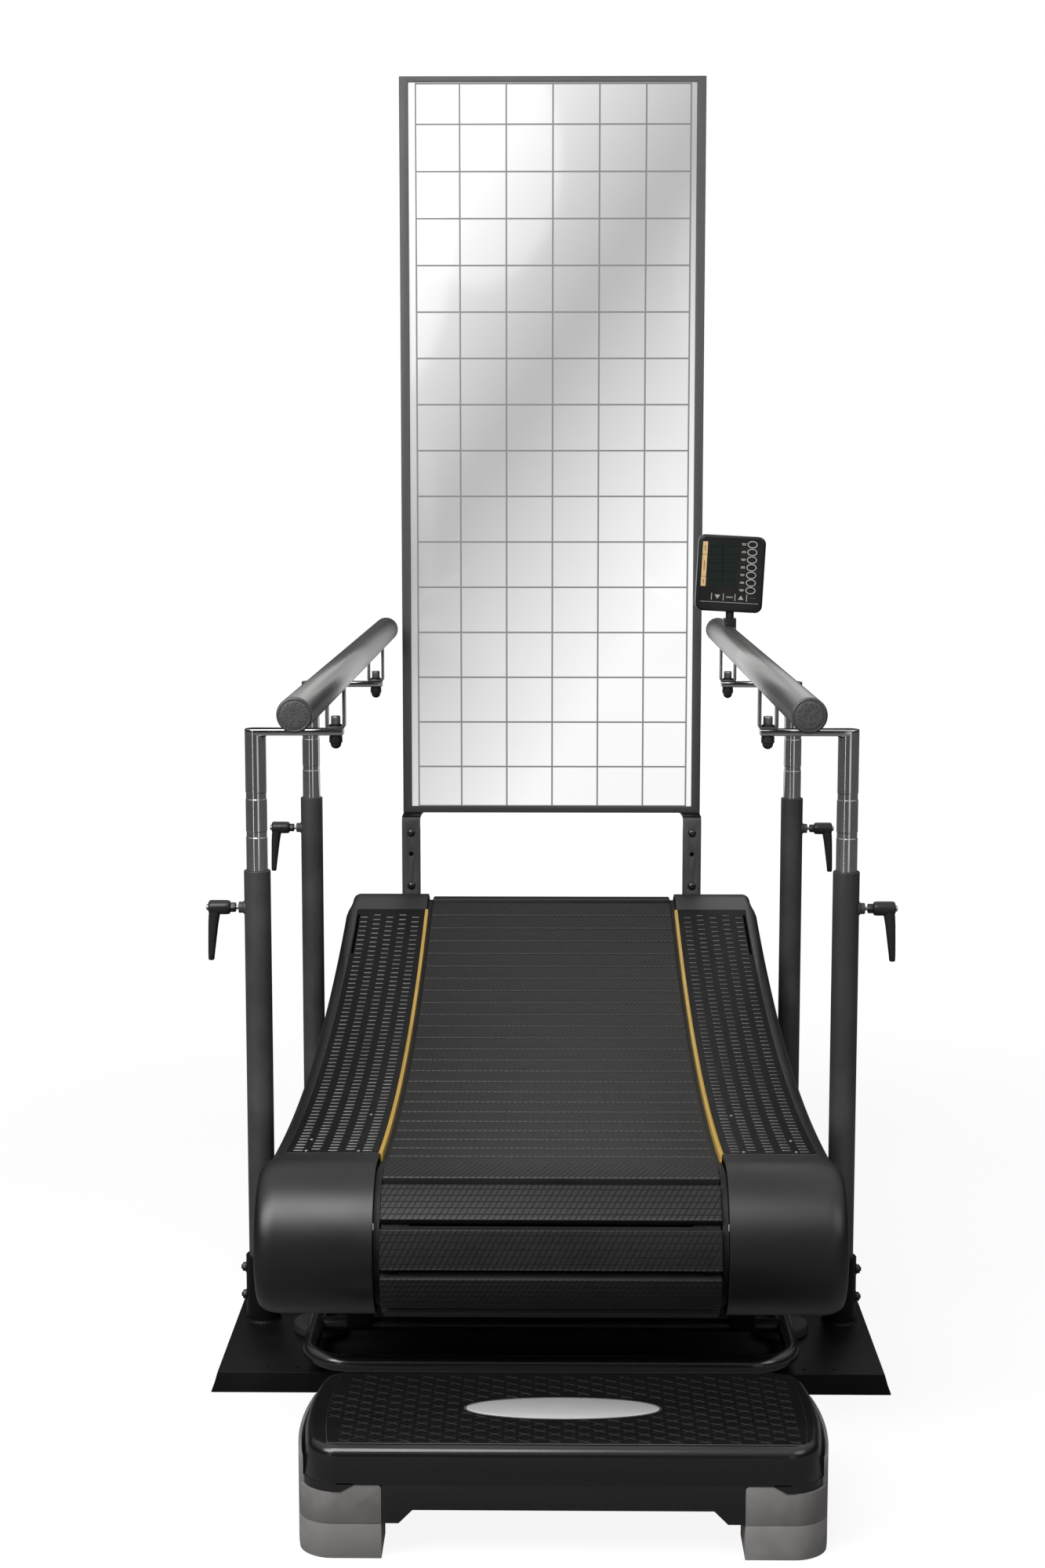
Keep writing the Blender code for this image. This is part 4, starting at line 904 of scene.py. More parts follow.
def drum_turns():
    """Where the running arc meets each drum, as turns on the arc."""
    return [math.asin((v - ARC[0]) / (ARC_R + SLAT_R)) for v in DRUM_V]


def belt_places(count):
    """Evenly spaced places on the pitch line, as (y, z, turn about X), from the rear end of the upper run."""
    wrap_r, run_r = SLAT_R - PITCH_DEEP, ARC_R + PITCH_DEEP
    turns = drum_turns()
    rear, front = [arc_point(ARC_R + SLAT_R, turn) for turn in turns]
    across, down = front[0] - rear[0], front[1] - rear[1]
    lean = math.atan2(down, across)
    upper, lower = run_r * (turns[1] - turns[0]), math.hypot(across, down)
    ahead, behind = wrap_r * (math.pi + turns[1] - lean), wrap_r * (math.pi - turns[0] + lean)
    places = []
    for k in range(count):
        along = (upper + ahead + lower + behind) * (k + BELT_PHASE) / count
        if along < upper:
            turn = turns[0] + along / run_r
            places.append((*arc_point(run_r, turn), turn))
            continue
        along -= upper
        centre, turn = front, turns[1] - along / wrap_r
        if along > ahead:
            part = min((along - ahead) / lower, 1.0)
            centre = (front[0] - part * across, front[1] - part * down)
            turn = lean - math.pi - max(along - ahead - lower, 0.0) / wrap_r
        places.append((centre[0] - wrap_r * math.sin(turn), centre[1] + wrap_r * math.cos(turn), turn))
    return places


def belt_length():
    """Length of the pitch line, from a fine chain of places on it."""
    places = belt_places(2000)
    return sum(math.dist(a[:2], b[:2]) for a, b in zip(places, places[1:] + places[:1]))


def copier(name):
    """Geometry Nodes that copy a piece to every point, turned there, as one mesh of one finish."""
    tree = bpy.data.node_groups.new(name, "GeometryNodeTree")
    sockets = {}
    for label, way, kind in (("Places", "INPUT", "Geometry"), ("Piece", "INPUT", "Object"),
                             ("Finish", "INPUT", "Material"), ("Copies", "OUTPUT", "Geometry")):
        socket = tree.interface.new_socket(label, in_out=way, socket_type="NodeSocket" + kind)
        sockets[label] = socket.identifier
    add, link = tree.nodes.new, tree.links.new
    inside, outside = add("NodeGroupInput").outputs, add("NodeGroupOutput").inputs
    info = add("GeometryNodeObjectInfo")
    turn = add("GeometryNodeInputNamedAttribute")
    turn.data_type = "FLOAT_VECTOR"
    turn.inputs["Name"].default_value = "turn"
    rotation = add("FunctionNodeEulerToRotation")
    copies = add("GeometryNodeInstanceOnPoints")
    real = add("GeometryNodeRealizeInstances")
    paint = add("GeometryNodeSetMaterial")
    link(inside["Piece"], info.inputs["Object"])
    link(turn.outputs["Attribute"], rotation.inputs["Euler"])
    link(inside["Places"], copies.inputs["Points"])
    link(info.outputs["Geometry"], copies.inputs["Instance"])
    link(rotation.outputs["Rotation"], copies.inputs["Rotation"])
    link(copies.outputs["Instances"], real.inputs["Geometry"])
    link(real.outputs["Geometry"], paint.inputs["Geometry"])
    link(inside["Finish"], paint.inputs["Material"])
    link(paint.outputs["Geometry"], outside["Copies"])
    return tree, sockets


def repeated(name, piece, finish, places):
    """Copies of a piece at places, each given as its point and its turn."""
    points = bpy.data.meshes.new(name + "_places")
    points.from_pydata([place for place, _ in places], [], [])
    turns = points.attributes.new("turn", "FLOAT_VECTOR", "POINT")
    turns.data.foreach_set("vector", [value for _, turn in places for value in turn])
    holder = bpy.data.objects.new(name, points)
    bpy.context.scene.collection.objects.link(holder)
    repeat = holder.modifiers.new("copies", "NODES")
    repeat.node_group, sockets = copier(name)
    repeat[sockets["Piece"]] = piece
    repeat[sockets["Finish"]] = finish.material
    made = baked(holder, 40.0)
    bpy.data.objects.remove(piece)
    return made


def slat_rubber():
    """Black rubber with thin dark grooves: lengthwise ones, and slanted ones that cross them; a painted
    highlight runs along one edge of each slat's face.
    """
    rubber = Finish("slat_rubber", (0.018, 0.018, 0.018), 0.48, specular_ior_level=0.26)
    on_slat = rubber.node("ShaderNodeAttribute", {"attribute_name": "on_slat"}, out="Vector")
    across, along, rise = rubber.parts(on_slat)
    slanted = (across - along * GROOVE_LEAN).to_nearest(GROOVE_ACROSS, GROOVE_ACROSS / 2)
    lengthwise = along.to_nearest(GROOVE_ALONG) + 0.00012
    on_top = rubber.stretch(rise, PITCH_DEEP - 0.0016, PITCH_DEEP - 0.0008)
    line = rubber.stretch(slanted.least(lengthwise), *GROOVE_WIDE, 1.0, 0.0) * on_top
    grain = rubber.noise(0.0007)
    wear = rubber.noise(0.055, 3.0, (0.35, 1.0, 1.0))
    patches = rubber.stretch(wear + rubber.noise(0.03, 1.0) * 0.3, 0.45, 0.95)
    face = rubber.mixed(patches, (0.011, 0.011, 0.0112), (0.019, 0.019, 0.019))
    # Painted highlight: a paler band along one edge of each slat's top, where its rounded edge catches the
    # light.
    near, far = [inset - (SLAT_PITCH - SLAT_GAP) / 2 for inset in EDGE_HIGHLIGHT_BAND]
    face = rubber.mixed(rubber.stretch(along, near, far) * on_top, face, (0.060, 0.060, 0.060))
    rubber.feed("Base Color", rubber.mixed(line, face, (0.001, 0.001, 0.001)))
    rubber.feed("Roughness", rubber.stretch(grain + wear, 0.6, 1.4, 0.40, 0.58))
    rubber.bump(grain * 0.08 - line, 0.0008)
    return rubber


BELT_RUBBER = powder_coat("toothed_belt_rubber", (0.006, 0.006, 0.006), 0.62, 0.0008, 0.00008)


def slat(half):
    """One slat about the pitch line: X across the belt, Y along it, Z outwards."""
    low, high, edge = SLAT_UNDER, PITCH_DEEP, SLAT_ROUND
    section = [(-half + 0.0006, low), (-half, low + 0.0006)]
    section += [*arc(edge - half, high - edge, edge, 180, 112.5, 3), (-half + edge, high)]
    section += [(-along, rise) for along, rise in reversed(section)]
    middle = (low + high) / 2
    stations = [(inset - SLAT_HALF, scale) for inset, scale in SLAT_ENDS]
    stations += [(-x, scale) for x, scale in reversed(stations)]
    loops = []
    for x, scale in stations:
        inset = (1.0 - scale) * middle
        loops.append([(x, along - math.copysign(inset, along), middle + (rise - middle) * scale)
                      for along, rise in section])
    reach, long, under, over = LIP
    lip = block((-reach, half - 0.001, under), (reach, half + long, over))
    made = sharp(merged("slat", [skin(loops), lip]), 40)
    place = made.data.attributes.new("on_slat", "FLOAT_VECTOR", "POINT")
    place.data.foreach_set("vector", [value for vertex in made.data.vertices for value in vertex.co])
    return made


def slat_belt():
    total = belt_length()
    count = round(total / SLAT_PITCH)
    places = [((0.0, y, z), (turn, 0.0, 0.0)) for y, z, turn in belt_places(count)]
    slats = repeated("slats", slat((total / count - SLAT_GAP) / 2), slat_rubber(), places)
    fitted(slats, "base", "rubber", "slat_belt")
    (near, far), (low, high) = BELT_X, BELT_RISE
    line = belt_places(240)
    places = [((0.0, y, z), (turn, 0.0, 0.0)) for y, z, turn in belt_places(round(total / TOOTH_PITCH))]
    for side in (-1, 1):
        loops = []
        for x, rise in ((near, high), (far, high), (far, low), (near, low)):
            loops.append([(side * x, y - rise * math.sin(turn), z + rise * math.cos(turn))
                          for y, z, turn in line])
        band = painted(skin(loops, closed=True, name=f"belt_band{side}"), BELT_RUBBER)
        fitted(sharp(band, 40), "base", "rubber")
        tooth = prism(TOOTH, "X", side * near, side * far)
        fitted(repeated(f"belt_teeth{side}", tooth, BELT_RUBBER, places), "base", "rubber")


slat_belt()


# Side covers: moulded black plastic bodies with a rounded outer shoulder. Each carries a ribbed tread
# insert to stand on, and a yellow aluminium angle along the belt.
COVER_X = (0.250, 0.412)
COVER_OVER = 0.008
COVER_END_R = (0.110, 0.108)
COVER_WALL = 0.006
SHOULDER = 0.024
BESIDE_TREAD = (0.022, 0.0)
REAR_END = (0.0165, 0.0065)
FRONT_END = (0.012, -0.010)
END_RAMP = (0.004, 0.050)
TREAD_X = (0.2533, 0.388)
TREAD_V = (-0.788, 0.555)
TREAD_THICK = 0.003
RECESS_ROOM = 0.0004
EDGE_X = (0.2465, 0.2528)
EDGE_SHEET = 0.003
EDGE_DEEP = 0.014
SLOT_X = (0.3815, 0.3858)
SLOT_V = (0.352, 0.532)
SEAM_V = (-0.143, 0.342)
SEAM_HALF = 0.0007
SEAM_DEEP = 0.0008
DASH = (0.0140, 0.0026, 0.0012)
DASH_X = (0.270, 0.0255, 5)
DASH_PITCH = 0.0208
DASH_ROWS = 63
DASH_INSET = 0.016
SCREW_HEAD = ((0.0030, -0.0006), (0.0028, 0.0007), (0.0012, 0.0012))
TREAD_SCREWS = ((0.2830, -0.772), (0.3600, -0.772), (0.2830, -0.520), (0.3600, -0.690))
UPRIGHT_SLOT_X = (0.275, 0.325)
UPRIGHT_SLOT_HALF = 0.025
UPRIGHT_SLOT_DROP = (0.150, 0.014)
SKIRT_X = (0.2410, 0.2496)
SKIRT_INSET = (0.012, 0.050)


def turn_of(v):
    """Turn on the running arc of a place along the treadmill."""
    return math.asin((v - ARC[0]) / ARC_R)


def loop_round(inset, arc_steps=96, end_steps=28):
    """Side outline of a cover: the arc on top, the front round, a straight underside, the rear round."""
    turns = drum_turns()
    rear_r, front_r = COVER_END_R
    rear, front = [arc_point(ARC_R - COVER_OVER + radius, turn) for radius, turn in zip(COVER_END_R, turns)]
    outline = []
    for k in range(arc_steps + 1):
        turn = turns[0] + (turns[1] - turns[0]) * k / arc_steps
        outline.append(arc_point(ARC_R - COVER_OVER + inset, turn))
    across, down = front[0] - rear[0], front[1] - rear[1]
    under = math.degrees(math.atan2(down, across) - math.acos((rear_r - front_r) / math.hypot(across, down)))
    behind, ahead = [math.degrees(turn) for turn in turns]
    outline += arc(*front, front_r - inset, 90 + ahead, under, end_steps)[1:]
    return outline + arc(*rear, rear_r - inset, under, behind - 270, end_steps)[:-1]


def arc_bar(x_low, x_high, deep_low, deep_high, v_low, v_high, steps=64):
    """A bar that follows the running surface, between two depths under the slats' outer face."""
    turns = [turn_of(v_low) + (turn_of(v_high) - turn_of(v_low)) * k / steps for k in range(steps + 1)]
    outline = [arc_point(ARC_R + deep_low, turn) for turn in turns]
    outline += [arc_point(ARC_R + deep_high, turn) for turn in reversed(turns)]
    return prism(outline, "X", x_low, x_high)


def cover_plastic():
    """Black moulded plastic with a fine even grain and a low sheen."""
    plastic = Finish("cover_plastic", (0.0026, 0.0026, 0.0027), 0.40, specular_ior_level=0.54)
    grain = plastic.noise(0.0011)
    plastic.feed("Roughness", plastic.stretch(plastic.noise(0.16) + grain * 0.3, 0.45, 0.85, 0.36, 0.44))
    plastic.bump(grain, 0.00007)
    return plastic


def angle_yellow():
    yellow = Finish("yellow_coat", (0.62, 0.40, 0.075), 0.34)
    cloud = yellow.stretch(yellow.noise(0.02, 3.0, (1.0, 0.15, 1.0)), 0.3, 0.8)
    yellow.feed("Base Color", yellow.mixed(cloud, (0.66, 0.43, 0.085), (0.55, 0.34, 0.055)))
    yellow.bump(yellow.noise(0.0015), 0.00005)
    return yellow


COVER_PLASTIC = cover_plastic()
TREAD_PLASTIC = powder_coat("tread_plastic", (0.0035, 0.0035, 0.0036), 0.46, 0.0009, 0.00010, 0.08)
# The tread ribs are painted pale as a painted highlight on their rims, those of the left tread paler, as more
# light falls on them.
DASH_PAINTED_HIGHLIGHT = {
    -1: powder_coat("left_rib_painted_highlight", (0.150, 0.150, 0.151), 0.30, 0.0009, 0.00004),
    1: powder_coat("tread_rib_plastic", (0.090, 0.090, 0.091), 0.16, 0.0009, 0.00004),
}
# Black without any gloss: painted shadow for the inside of the tread's slot.
SLOT_PAINTED_SHADOW = Finish("slot_shadow", (0.001, 0.001, 0.001), 0.9, specular_ior_level=0.0)
EDGE_YELLOW = angle_yellow()


def cover_section(drop, flare):
    """The shell's wall from its inner lip round to its outer lip, as (x, inset from the outline)."""
    flat = COVER_X[1] - SHOULDER
    outer, inner = [(COVER_X[0], 0.0006), (COVER_X[0] + 0.0006, 0.0)], [(COVER_X[0], COVER_WALL)]
    for k in range(13):
        out, fall = math.sin(math.pi / 24 * k), 1 - math.cos(math.pi / 24 * k)
        outer.append((flat + (SHOULDER + flare) * out, drop * fall))
        if k % 3 == 0:
            x = flat + (SHOULDER + flare - COVER_WALL) * out
            inner.append((x, COVER_WALL + (drop - COVER_WALL) * fall))
    return inner[::-1] + outer


def past_tread(v):
    """0 beside the tread, rising to 1 on the ends of a cover."""
    start, stop = END_RAMP
    part = (max(TREAD_V[0] - v, v - TREAD_V[1]) - start) / (stop - start)
    part = min(1.0, max(0.0, part))
    return part * part * (3.0 - 2.0 * part)


def cover_shell(side):
    """The shell: its wall beside the tread runs over into a fuller rear end and a narrower front end."""
    loops = []
    sections = [cover_section(*shape) for shape in (BESIDE_TREAD, REAR_END, FRONT_END)]
    for (x, inset), (rear_x, rear_inset), (front_x, front_inset) in zip(*sections):
        loop = []
        for beside, rear, front in zip(loop_round(inset), loop_round(rear_inset), loop_round(front_inset)):
            end = (front_x, *front) if beside[0] > MIDDLE_Y else (rear_x, *rear)
            part = past_tread(beside[0] - MIDDLE_Y)
            x_here, y, z = [a + (b - a) * part for a, b in zip((x, *beside), end)]
            loop.append((side * x_here, y, z))
        loops.append(loop)
    return skin(loops)


def cover_drills(side):
    """The recess for the tread, a slot over each upright, and two fine seams across the shoulder."""
    near, far = span(side, COVER_X[0] - 0.01, TREAD_X[1] + RECESS_ROOM)
    drills = [arc_bar(near, far, -COVER_OVER - 0.004, TREAD_THICK + GAP - COVER_OVER,
                      TREAD_V[0] - RECESS_ROOM, TREAD_V[1] + RECESS_ROOM)]
    x0, x1 = span(side, *UPRIGHT_SLOT_X)
    for v in (-CROSS_V, CROSS_V):
        y, z = v + MIDDLE_Y, arc_point(ARC_R + SLAT_R, turn_of(v))[1]
        low, high = [z - drop for drop in UPRIGHT_SLOT_DROP]
        drills.append(block((x0, y - UPRIGHT_SLOT_HALF, low), (x1, y + UPRIGHT_SLOT_HALF, high)))
    for v in SEAM_V:
        groove = arc_bar(*span(side, TREAD_X[1] + 0.001, COVER_X[1] + 0.002), -0.03, 0.14,
                         v - SEAM_HALF, v + SEAM_HALF, 2)
        inside = arc_bar(*span(side, TREAD_X[1] - 0.01, COVER_X[1] - SEAM_DEEP), SEAM_DEEP - COVER_OVER, 0.15,
                         v - 0.002, v + 0.002, 2)
        drills.append(bored(groove, [inside]))
    return drills


def cover(name, side):
    shell = painted(bored(cover_shell(side), cover_drills(side)), COVER_PLASTIC)
    (near, far), (low, high) = SKIRT_X, SKIRT_INSET
    loops = []
    for x, inset in ((near, low), (far, low), (far, high), (near, high)):
        loops.append([(side * x, y, z) for y, z in loop_round(inset)])
    skirt = painted(skin(loops, closed=True, name=name + "_skirt"), BELT_RUBBER)
    fitted(sharp(skirt, 35), "base", "black_plastic")
    shell.name = name + "_shell"
    fitted(sharp(shell, 35), "base", "black_plastic", name)


def dash():
    """One raised rib of the tread, round at both ends."""
    long, wide, tall = DASH
    reach = (long - wide) / 2
    outline = arc(reach, 0, wide / 2, -90, 90, 4) + arc(-reach, 0, wide / 2, 90, 270, 4)
    rings = ((1.0, 1.0, -0.0004), (1.0, 1.0, tall * 0.45), (0.97, 0.80, tall * 0.85), (0.92, 0.45, tall))
    return skin([[(x * scale_x, y * scale_y, z) for x, y in outline] for scale_x, scale_y, z in rings])


def tread(name, side):
    near, far = span(side, *TREAD_X)
    slot_near, slot_far = span(side, *SLOT_X)
    top = -COVER_OVER
    plate = arc_bar(near, far, top, top + TREAD_THICK, *TREAD_V)
    slot = arc_bar(slot_near, slot_far, top - 0.002, top + 0.0024, *SLOT_V)
    # A glossless black bar down in the slot: painted shadow where the slot lies in shade.
    floor = arc_bar(slot_near, slot_far, top + 0.0008, top + 0.0026, *SLOT_V, 12)
    # A bright steel strip along the rear end of the recess: a painted highlight on its edge.
    highlight_strip = arc_bar(near, far, top - GAP, top + TREAD_THICK, TREAD_V[0] - 0.0020, TREAD_V[0] - GAP, 1)
    plate = soften(bored(plate, [slot]), 0.0004, 2, 40.0)
    pieces = [painted(plate, TREAD_PLASTIC), painted(floor, SLOT_PAINTED_SHADOW), painted(highlight_strip, BARE_STEEL)]
    for x, v in TREAD_SCREWS:
        y, z = arc_point(ARC_R + top, turn_of(v))
        pieces.append(painted(turned(SCREW_HEAD, "Z", (side * x, y, z), 16), BARE_STEEL))
    fitted(merged(name + "_insert", pieces), "base", "black_plastic", name)
    first, pitch, columns = DASH_X
    places = []
    for column in range(columns):
        for row in range(DASH_ROWS):
            turn = turn_of(TREAD_V[0] + DASH_INSET + DASH_PITCH * (row + column % 2 / 2))
            point = (side * (first + pitch * column), *arc_point(ARC_R + top, turn))
            places.append((point, (turn, 0.0, 0.0)))
    # The ribs take the painted highlight colour of their side.
    fitted(repeated(name + "_ribs", dash(), DASH_PAINTED_HIGHLIGHT[side], places), "base", "black_plastic")


def edge_strip(name, side):
    near, far = EDGE_X
    section = ((near, 0.0010), (near + 0.0003, 0.0003), (near + 0.0010, 0.0), (far - 0.0006, 0.0),
               (far, 0.0006), (far, EDGE_SHEET), (near + EDGE_SHEET, EDGE_SHEET),
               (near + EDGE_SHEET, EDGE_DEEP), (near, EDGE_DEEP))
    start, stop = [turn_of(v) for v in TREAD_V]
    turns = [start + (stop - start) * k / 72 for k in range(73)]
    loops = [[(side * x, *arc_point(ARC_R - COVER_OVER + deep, turn)) for x, deep in section]
             for turn in turns]
    made = painted(skin(loops, name=name + "_angle"), EDGE_YELLOW)
    fitted(sharp(made, 50), "base", "yellow", name)


for side_name, side in SIDES:
    cover(f"{side_name}_cover", side)
    tread(f"{side_name}_tread", side)
    edge_strip(f"{side_name}_edge_strip", side)


# Mirror: a flat steel tray with a coarse charcoal powder coat, and a pane laid in it that glows as a painted
# light. A grey grid is printed on the pane for judging posture, and a soft slanting painted reflection
# crosses it.
MIRROR_HALF = 0.310
MIRROR_Z = (0.690, 2.188)
MIRROR_V = (0.790, 0.825)
MIRROR_FLOOR_V = 0.806
MIRROR_EDGES = (0.018, 0.013, 0.011)
GLASS_V = (0.7965, 0.8057)
GRID_X = (0.0945, 0.001)
GRID_Z = (0.0934, 2.0941)
BORDER_X = (-0.277, 0.280)
BORDER_Z = (0.7038, 2.1741)
GRID_LINE = 0.0034
SHEEN_Z = 1.62
SHEEN_LEAN = 0.66
SHEEN_DARK = 0.445
SHEEN_SOFT = 0.0016


def beyond(place, edges):
    """How far a place lies outside two edges; less than zero between them."""
    low, high = edges
    return abs(place - (low + high) / 2) - (high - low) / 2


def pane_with_painted_sheen():
    # The pane glows with its own colour, a painted light that is no lamp, carrying the painted reflection and
    # the printed grid.
    pane = Finish("pane_with_painted_sheen", (0.30, 0.30, 0.30), 0.10, emission_strength=0.80, specular_ior_level=0.2)
    x, _, z = pane.parts(pane.place())
    # Painted reflection: a soft sheen, darker along a slanting line and paler away from it.
    valley = x - (z - SHEEN_Z) * SHEEN_LEAN
    painted_sheen_tone = ((valley * valley + SHEEN_SOFT).root() + SHEEN_DARK).least(1.0)
    outside = beyond(x, BORDER_X).most(beyond(z, BORDER_Z))
    near = x.to_nearest(*GRID_X).least(z.to_nearest(*GRID_Z))
    near = near.most(outside + GRID_LINE / 2).least(abs(outside))
    line = pane.stretch(near, GRID_LINE * 0.42, GRID_LINE * 0.58, 1.0, 0.0)
    shade = pane.mixed(line, painted_sheen_tone, (0.24, 0.24, 0.24))
    pane.feed("Base Color", pane.mixed(0.75, shade, (0.0, 0.0, 0.0)))
    pane.feed("Emission Color", shade)
    pane.feed("Roughness", pane.stretch(line, 0.0, 1.0, 0.10, 0.45))
    return pane


def mirror_coat_painted_light():
    """Coarse charcoal coat, painted paler towards the top as a painted light, as if more of the room reached
    it there.
    """
    coat = powder_coat("mirror_powder_coat", (0.100, 0.100, 0.101), 0.52, 0.0013, 0.00030)
    height = coat.stretch(coat.parts(coat.place())[2], 0.7, 1.7)
    # Painted light: the colour runs from darker low down to paler high up.
    coat.feed("Base Color", coat.mixed(height, (0.052, 0.052, 0.053), (0.098, 0.098, 0.099)))
    return coat


def mirror():
    side, bottom, top = MIRROR_EDGES
    low, high = MIRROR_Z
    front, back = [v + MIDDLE_Y for v in MIRROR_V]
    tray = block((-MIRROR_HALF, front, low), (MIRROR_HALF, back, high))
    tray.name = "tray"
    pocket = block((side - MIRROR_HALF, front - 0.01, low + bottom),
                   (MIRROR_HALF - side, MIRROR_FLOOR_V + MIDDLE_Y, high - top))
    tray = painted(soften(bored(tray, [pocket]), 0.0014, 3, 40.0), mirror_coat_painted_light())
    fitted(tray, "base", "black_plastic", "mirror_frame")
    half, (near, far) = MIRROR_HALF - side - GAP, [v + MIDDLE_Y for v in GLASS_V]
    pane = block((-half, near, low + bottom + GAP), (half, far, high - top - GAP))
    pane.name = "pane"
    fitted(painted(soften(pane, 0.0008, 2, 40.0), pane_with_painted_sheen()), "base", "mirror_glass", "mirror_glass")


mirror()


# Mirror legs: bent straps under the tray, each with three holes and held by two dome headed bolts to
# the bar behind it, so that the mirror can be set higher or lower. A small web stiffens the bend.
LEG_V = (0.7337, 0.7397)
LEG_BOTTOM = 0.521
LEG_BEND = 0.006
LEG_HOLES = (0.5447, 0.6558, 0.6108)
LEG_WEB = ((0.0, 0.0010), (0.0, -0.0052), (0.0010, -0.0038), (0.0026, -0.0018), (0.0052, 0.0010))
LEG_WEB_V = (0.7906, 0.8100)
DOME = (0.0084, 0.0056)
LEG_NUT = ((0.0040, 0.0), (0.0088, 0.0), (0.0088, 0.0012), (0.0075, 0.0014), (0.0075, 0.0056),
           (0.0068, 0.0062), (0.0040, 0.0062))
LEG_COAT = powder_coat("leg_powder_coat", (0.062, 0.062, 0.063), 0.50, 0.0013, 0.00030)


def leg_bolt(x, z, face):
    """A dome head in front of the strap and a flanged nut behind the bar."""
    wide, tall = DOME
    head = [(BOLT_HOLE, face + 0.0006), (wide - 0.0004, face + 0.0004), (wide, face - 0.0004)]
    for k in range(1, 9):
        angle = math.radians(11 * k)
        head.append((wide * math.cos(angle), face - 0.0004 - (tall - 0.0004) * math.sin(angle)))
    head += [(0.0022, face - tall * 0.96), (0.0020, face - tall * 0.5)]
    nut = [(0.0040, face + 0.002), *shifted(LEG_NUT, along=BAR_V[1] + MIDDLE_Y + GAP)]
    head, nut = turned(head, "Y", (x, 0, z), 40), turned(nut, "Y", (x, 0, z), 6)
    return [painted(head, GLOSS_BLACK), painted(nut, BLACK_STEEL)]


def mirror_leg(name, side):
    front, back = LEG_V
    tray = MIRROR_V[1]
    top = MIRROR_Z[0] - GAP
    under = top - back + front
    outline = [(front, LEG_BOTTOM), (back, LEG_BOTTOM), (back, under - LEG_BEND), (back + LEG_BEND, under),
               (tray, under), (tray, top), (back + LEG_BEND - 0.002, top), (front, top - LEG_BEND)]
    x0, x1 = span(side, *LEG_X)
    middle = (x0 + x1) / 2
    face = front + MIDDLE_Y
    strap = prism([(v + MIDDLE_Y, z) for v, z in outline], "X", x0, x1)
    holes = [drill("Y", (middle, 0, z), *THROUGH) for z in LEG_HOLES]
    web = prism([(side * (LEG_X[0] - out), MIRROR_Z[0] + rise) for out, rise in LEG_WEB], "Y",
                *[v + MIDDLE_Y for v in LEG_WEB_V])
    # A near black sheet over the top of the leg, in front of the tray: painted shade under the mirror.
    shade_sheet = block((x0 + 0.0008, face + LEG_BEND, top - 0.002),
                  (x1 - 0.0008, MIRROR_V[0] + MIDDLE_Y, top + 0.0002))
    pieces = [painted(soften(bored(strap, holes), 0.0011, 2, 30.0), LEG_COAT), painted(web, LEG_COAT),
              painted(shade_sheet, PLATE_COAT)]
    for z in BAR_HOLES:
        pieces += leg_bolt(middle, z, face)
    fitted(merged(name + "_dressed", pieces), "base", "satin_black", name)


for side_name, side in SIDES:
    mirror_leg(f"{side_name}_mirror_leg", side)


# Step: a separate moulded aerobic step in front of the belt. A black shell with a rounded shoulder
# carries a field of raised ribs about a bare oval badge, and stands on grey stacking blocks.
STEP_X = 0.0165
STEP_HALF = 0.3430
STEP_BOW = 0.016
STEP_FLARE = 0.0045
STEP_V = (-1.255, -0.975)
STEP_Y = sum(STEP_V) / 2 + MIDDLE_Y
STEP_HALF_Y = (STEP_V[1] - STEP_V[0]) / 2
STEP_TOP = 0.150
STEP_SHOULDER = 0.135
STEP_SPLIT = 0.100
STEP_CORNER = 0.038
STEP_WALL = 0.004
SHOULDER_ROUND = (0.0125, 0.0143)
STEP_LIP = (0.0905, 0.288, 0.2708)
LIP_THICK = 0.0009
SKIRT_Z = 0.066
TAB_Z = 0.048
TAB = 0.022
RISER_IN = 0.235
RISER_SEAM = 0.047
RISER_DEEP = 0.077
RISER_BRIDGE = 0.016
RISER_FLARE = 0.0095
RISER_ROOM = 0.0002
RISER_CHEEK = (0.0042, 0.110, 0.126)
RISER_CORNER = 0.0062
UNDER_LIP = (0.300, 0.380, 0.110, 0.160)
FIELD_X = 0.0205
FIELD_V = (-1.238, -0.992)
FIELD_HALF = 0.3180
FIELD_BULGE = 0.009
BORDER = ((-0.0011, -0.0009), (-0.0003, 0.0), (0.0003, 0.0), (0.0011, -0.0009))
BADGE_HALF = (0.130, 0.036)
BADGE_V = -1.117
BADGE_EDGE = ((0.0, -0.0010), (0.0, -0.0003), (-0.0006, 0.0))
BADGE_RIM = ((0.0010, -0.0010), (0.0014, -0.0001), (0.0030, -0.0001), (0.0034, -0.0010))
BADGE_CLEAR = (0.012, 0.007)
RIB = (0.0186, 0.0009, 0.0004)
RIB_CROSSING = (-0.2188, -0.9383)
RIB_STEP = (0.0195, 0.0236)
RIB_CLEAR = (0.009, 0.005)


def step_plastic():
    plastic = Finish("step_plastic", (0.0075, 0.0075, 0.0078), 0.30)
    cloud = plastic.noise(0.05, 2.0, (0.35, 1.0, 1.0))
    plastic.feed("Roughness", plastic.stretch(cloud, 0.3, 0.8, 0.15, 0.26))
    plastic.bump(cloud * 2.0 + plastic.noise(0.0012) * 0.2, 0.00026)
    return plastic


def badge_plate():
    metal = Finish("badge_plate", (0.50, 0.50, 0.505), 0.40, 0.25)
    metal.feed("Roughness", metal.stretch(metal.noise(0.004, 2.0, (0.1, 1.0, 1.0)), 0.3, 0.7, 0.34, 0.46))
    return metal


STEP_PLASTIC = step_plastic()
# Pale coat for the field border and the badge rim: painted highlight on these raised lines.
STEP_RIDGE_HIGHLIGHT = powder_coat("step_ridge_painted_highlight", (0.060, 0.060, 0.061), 0.26, 0.0010, 0.00003)
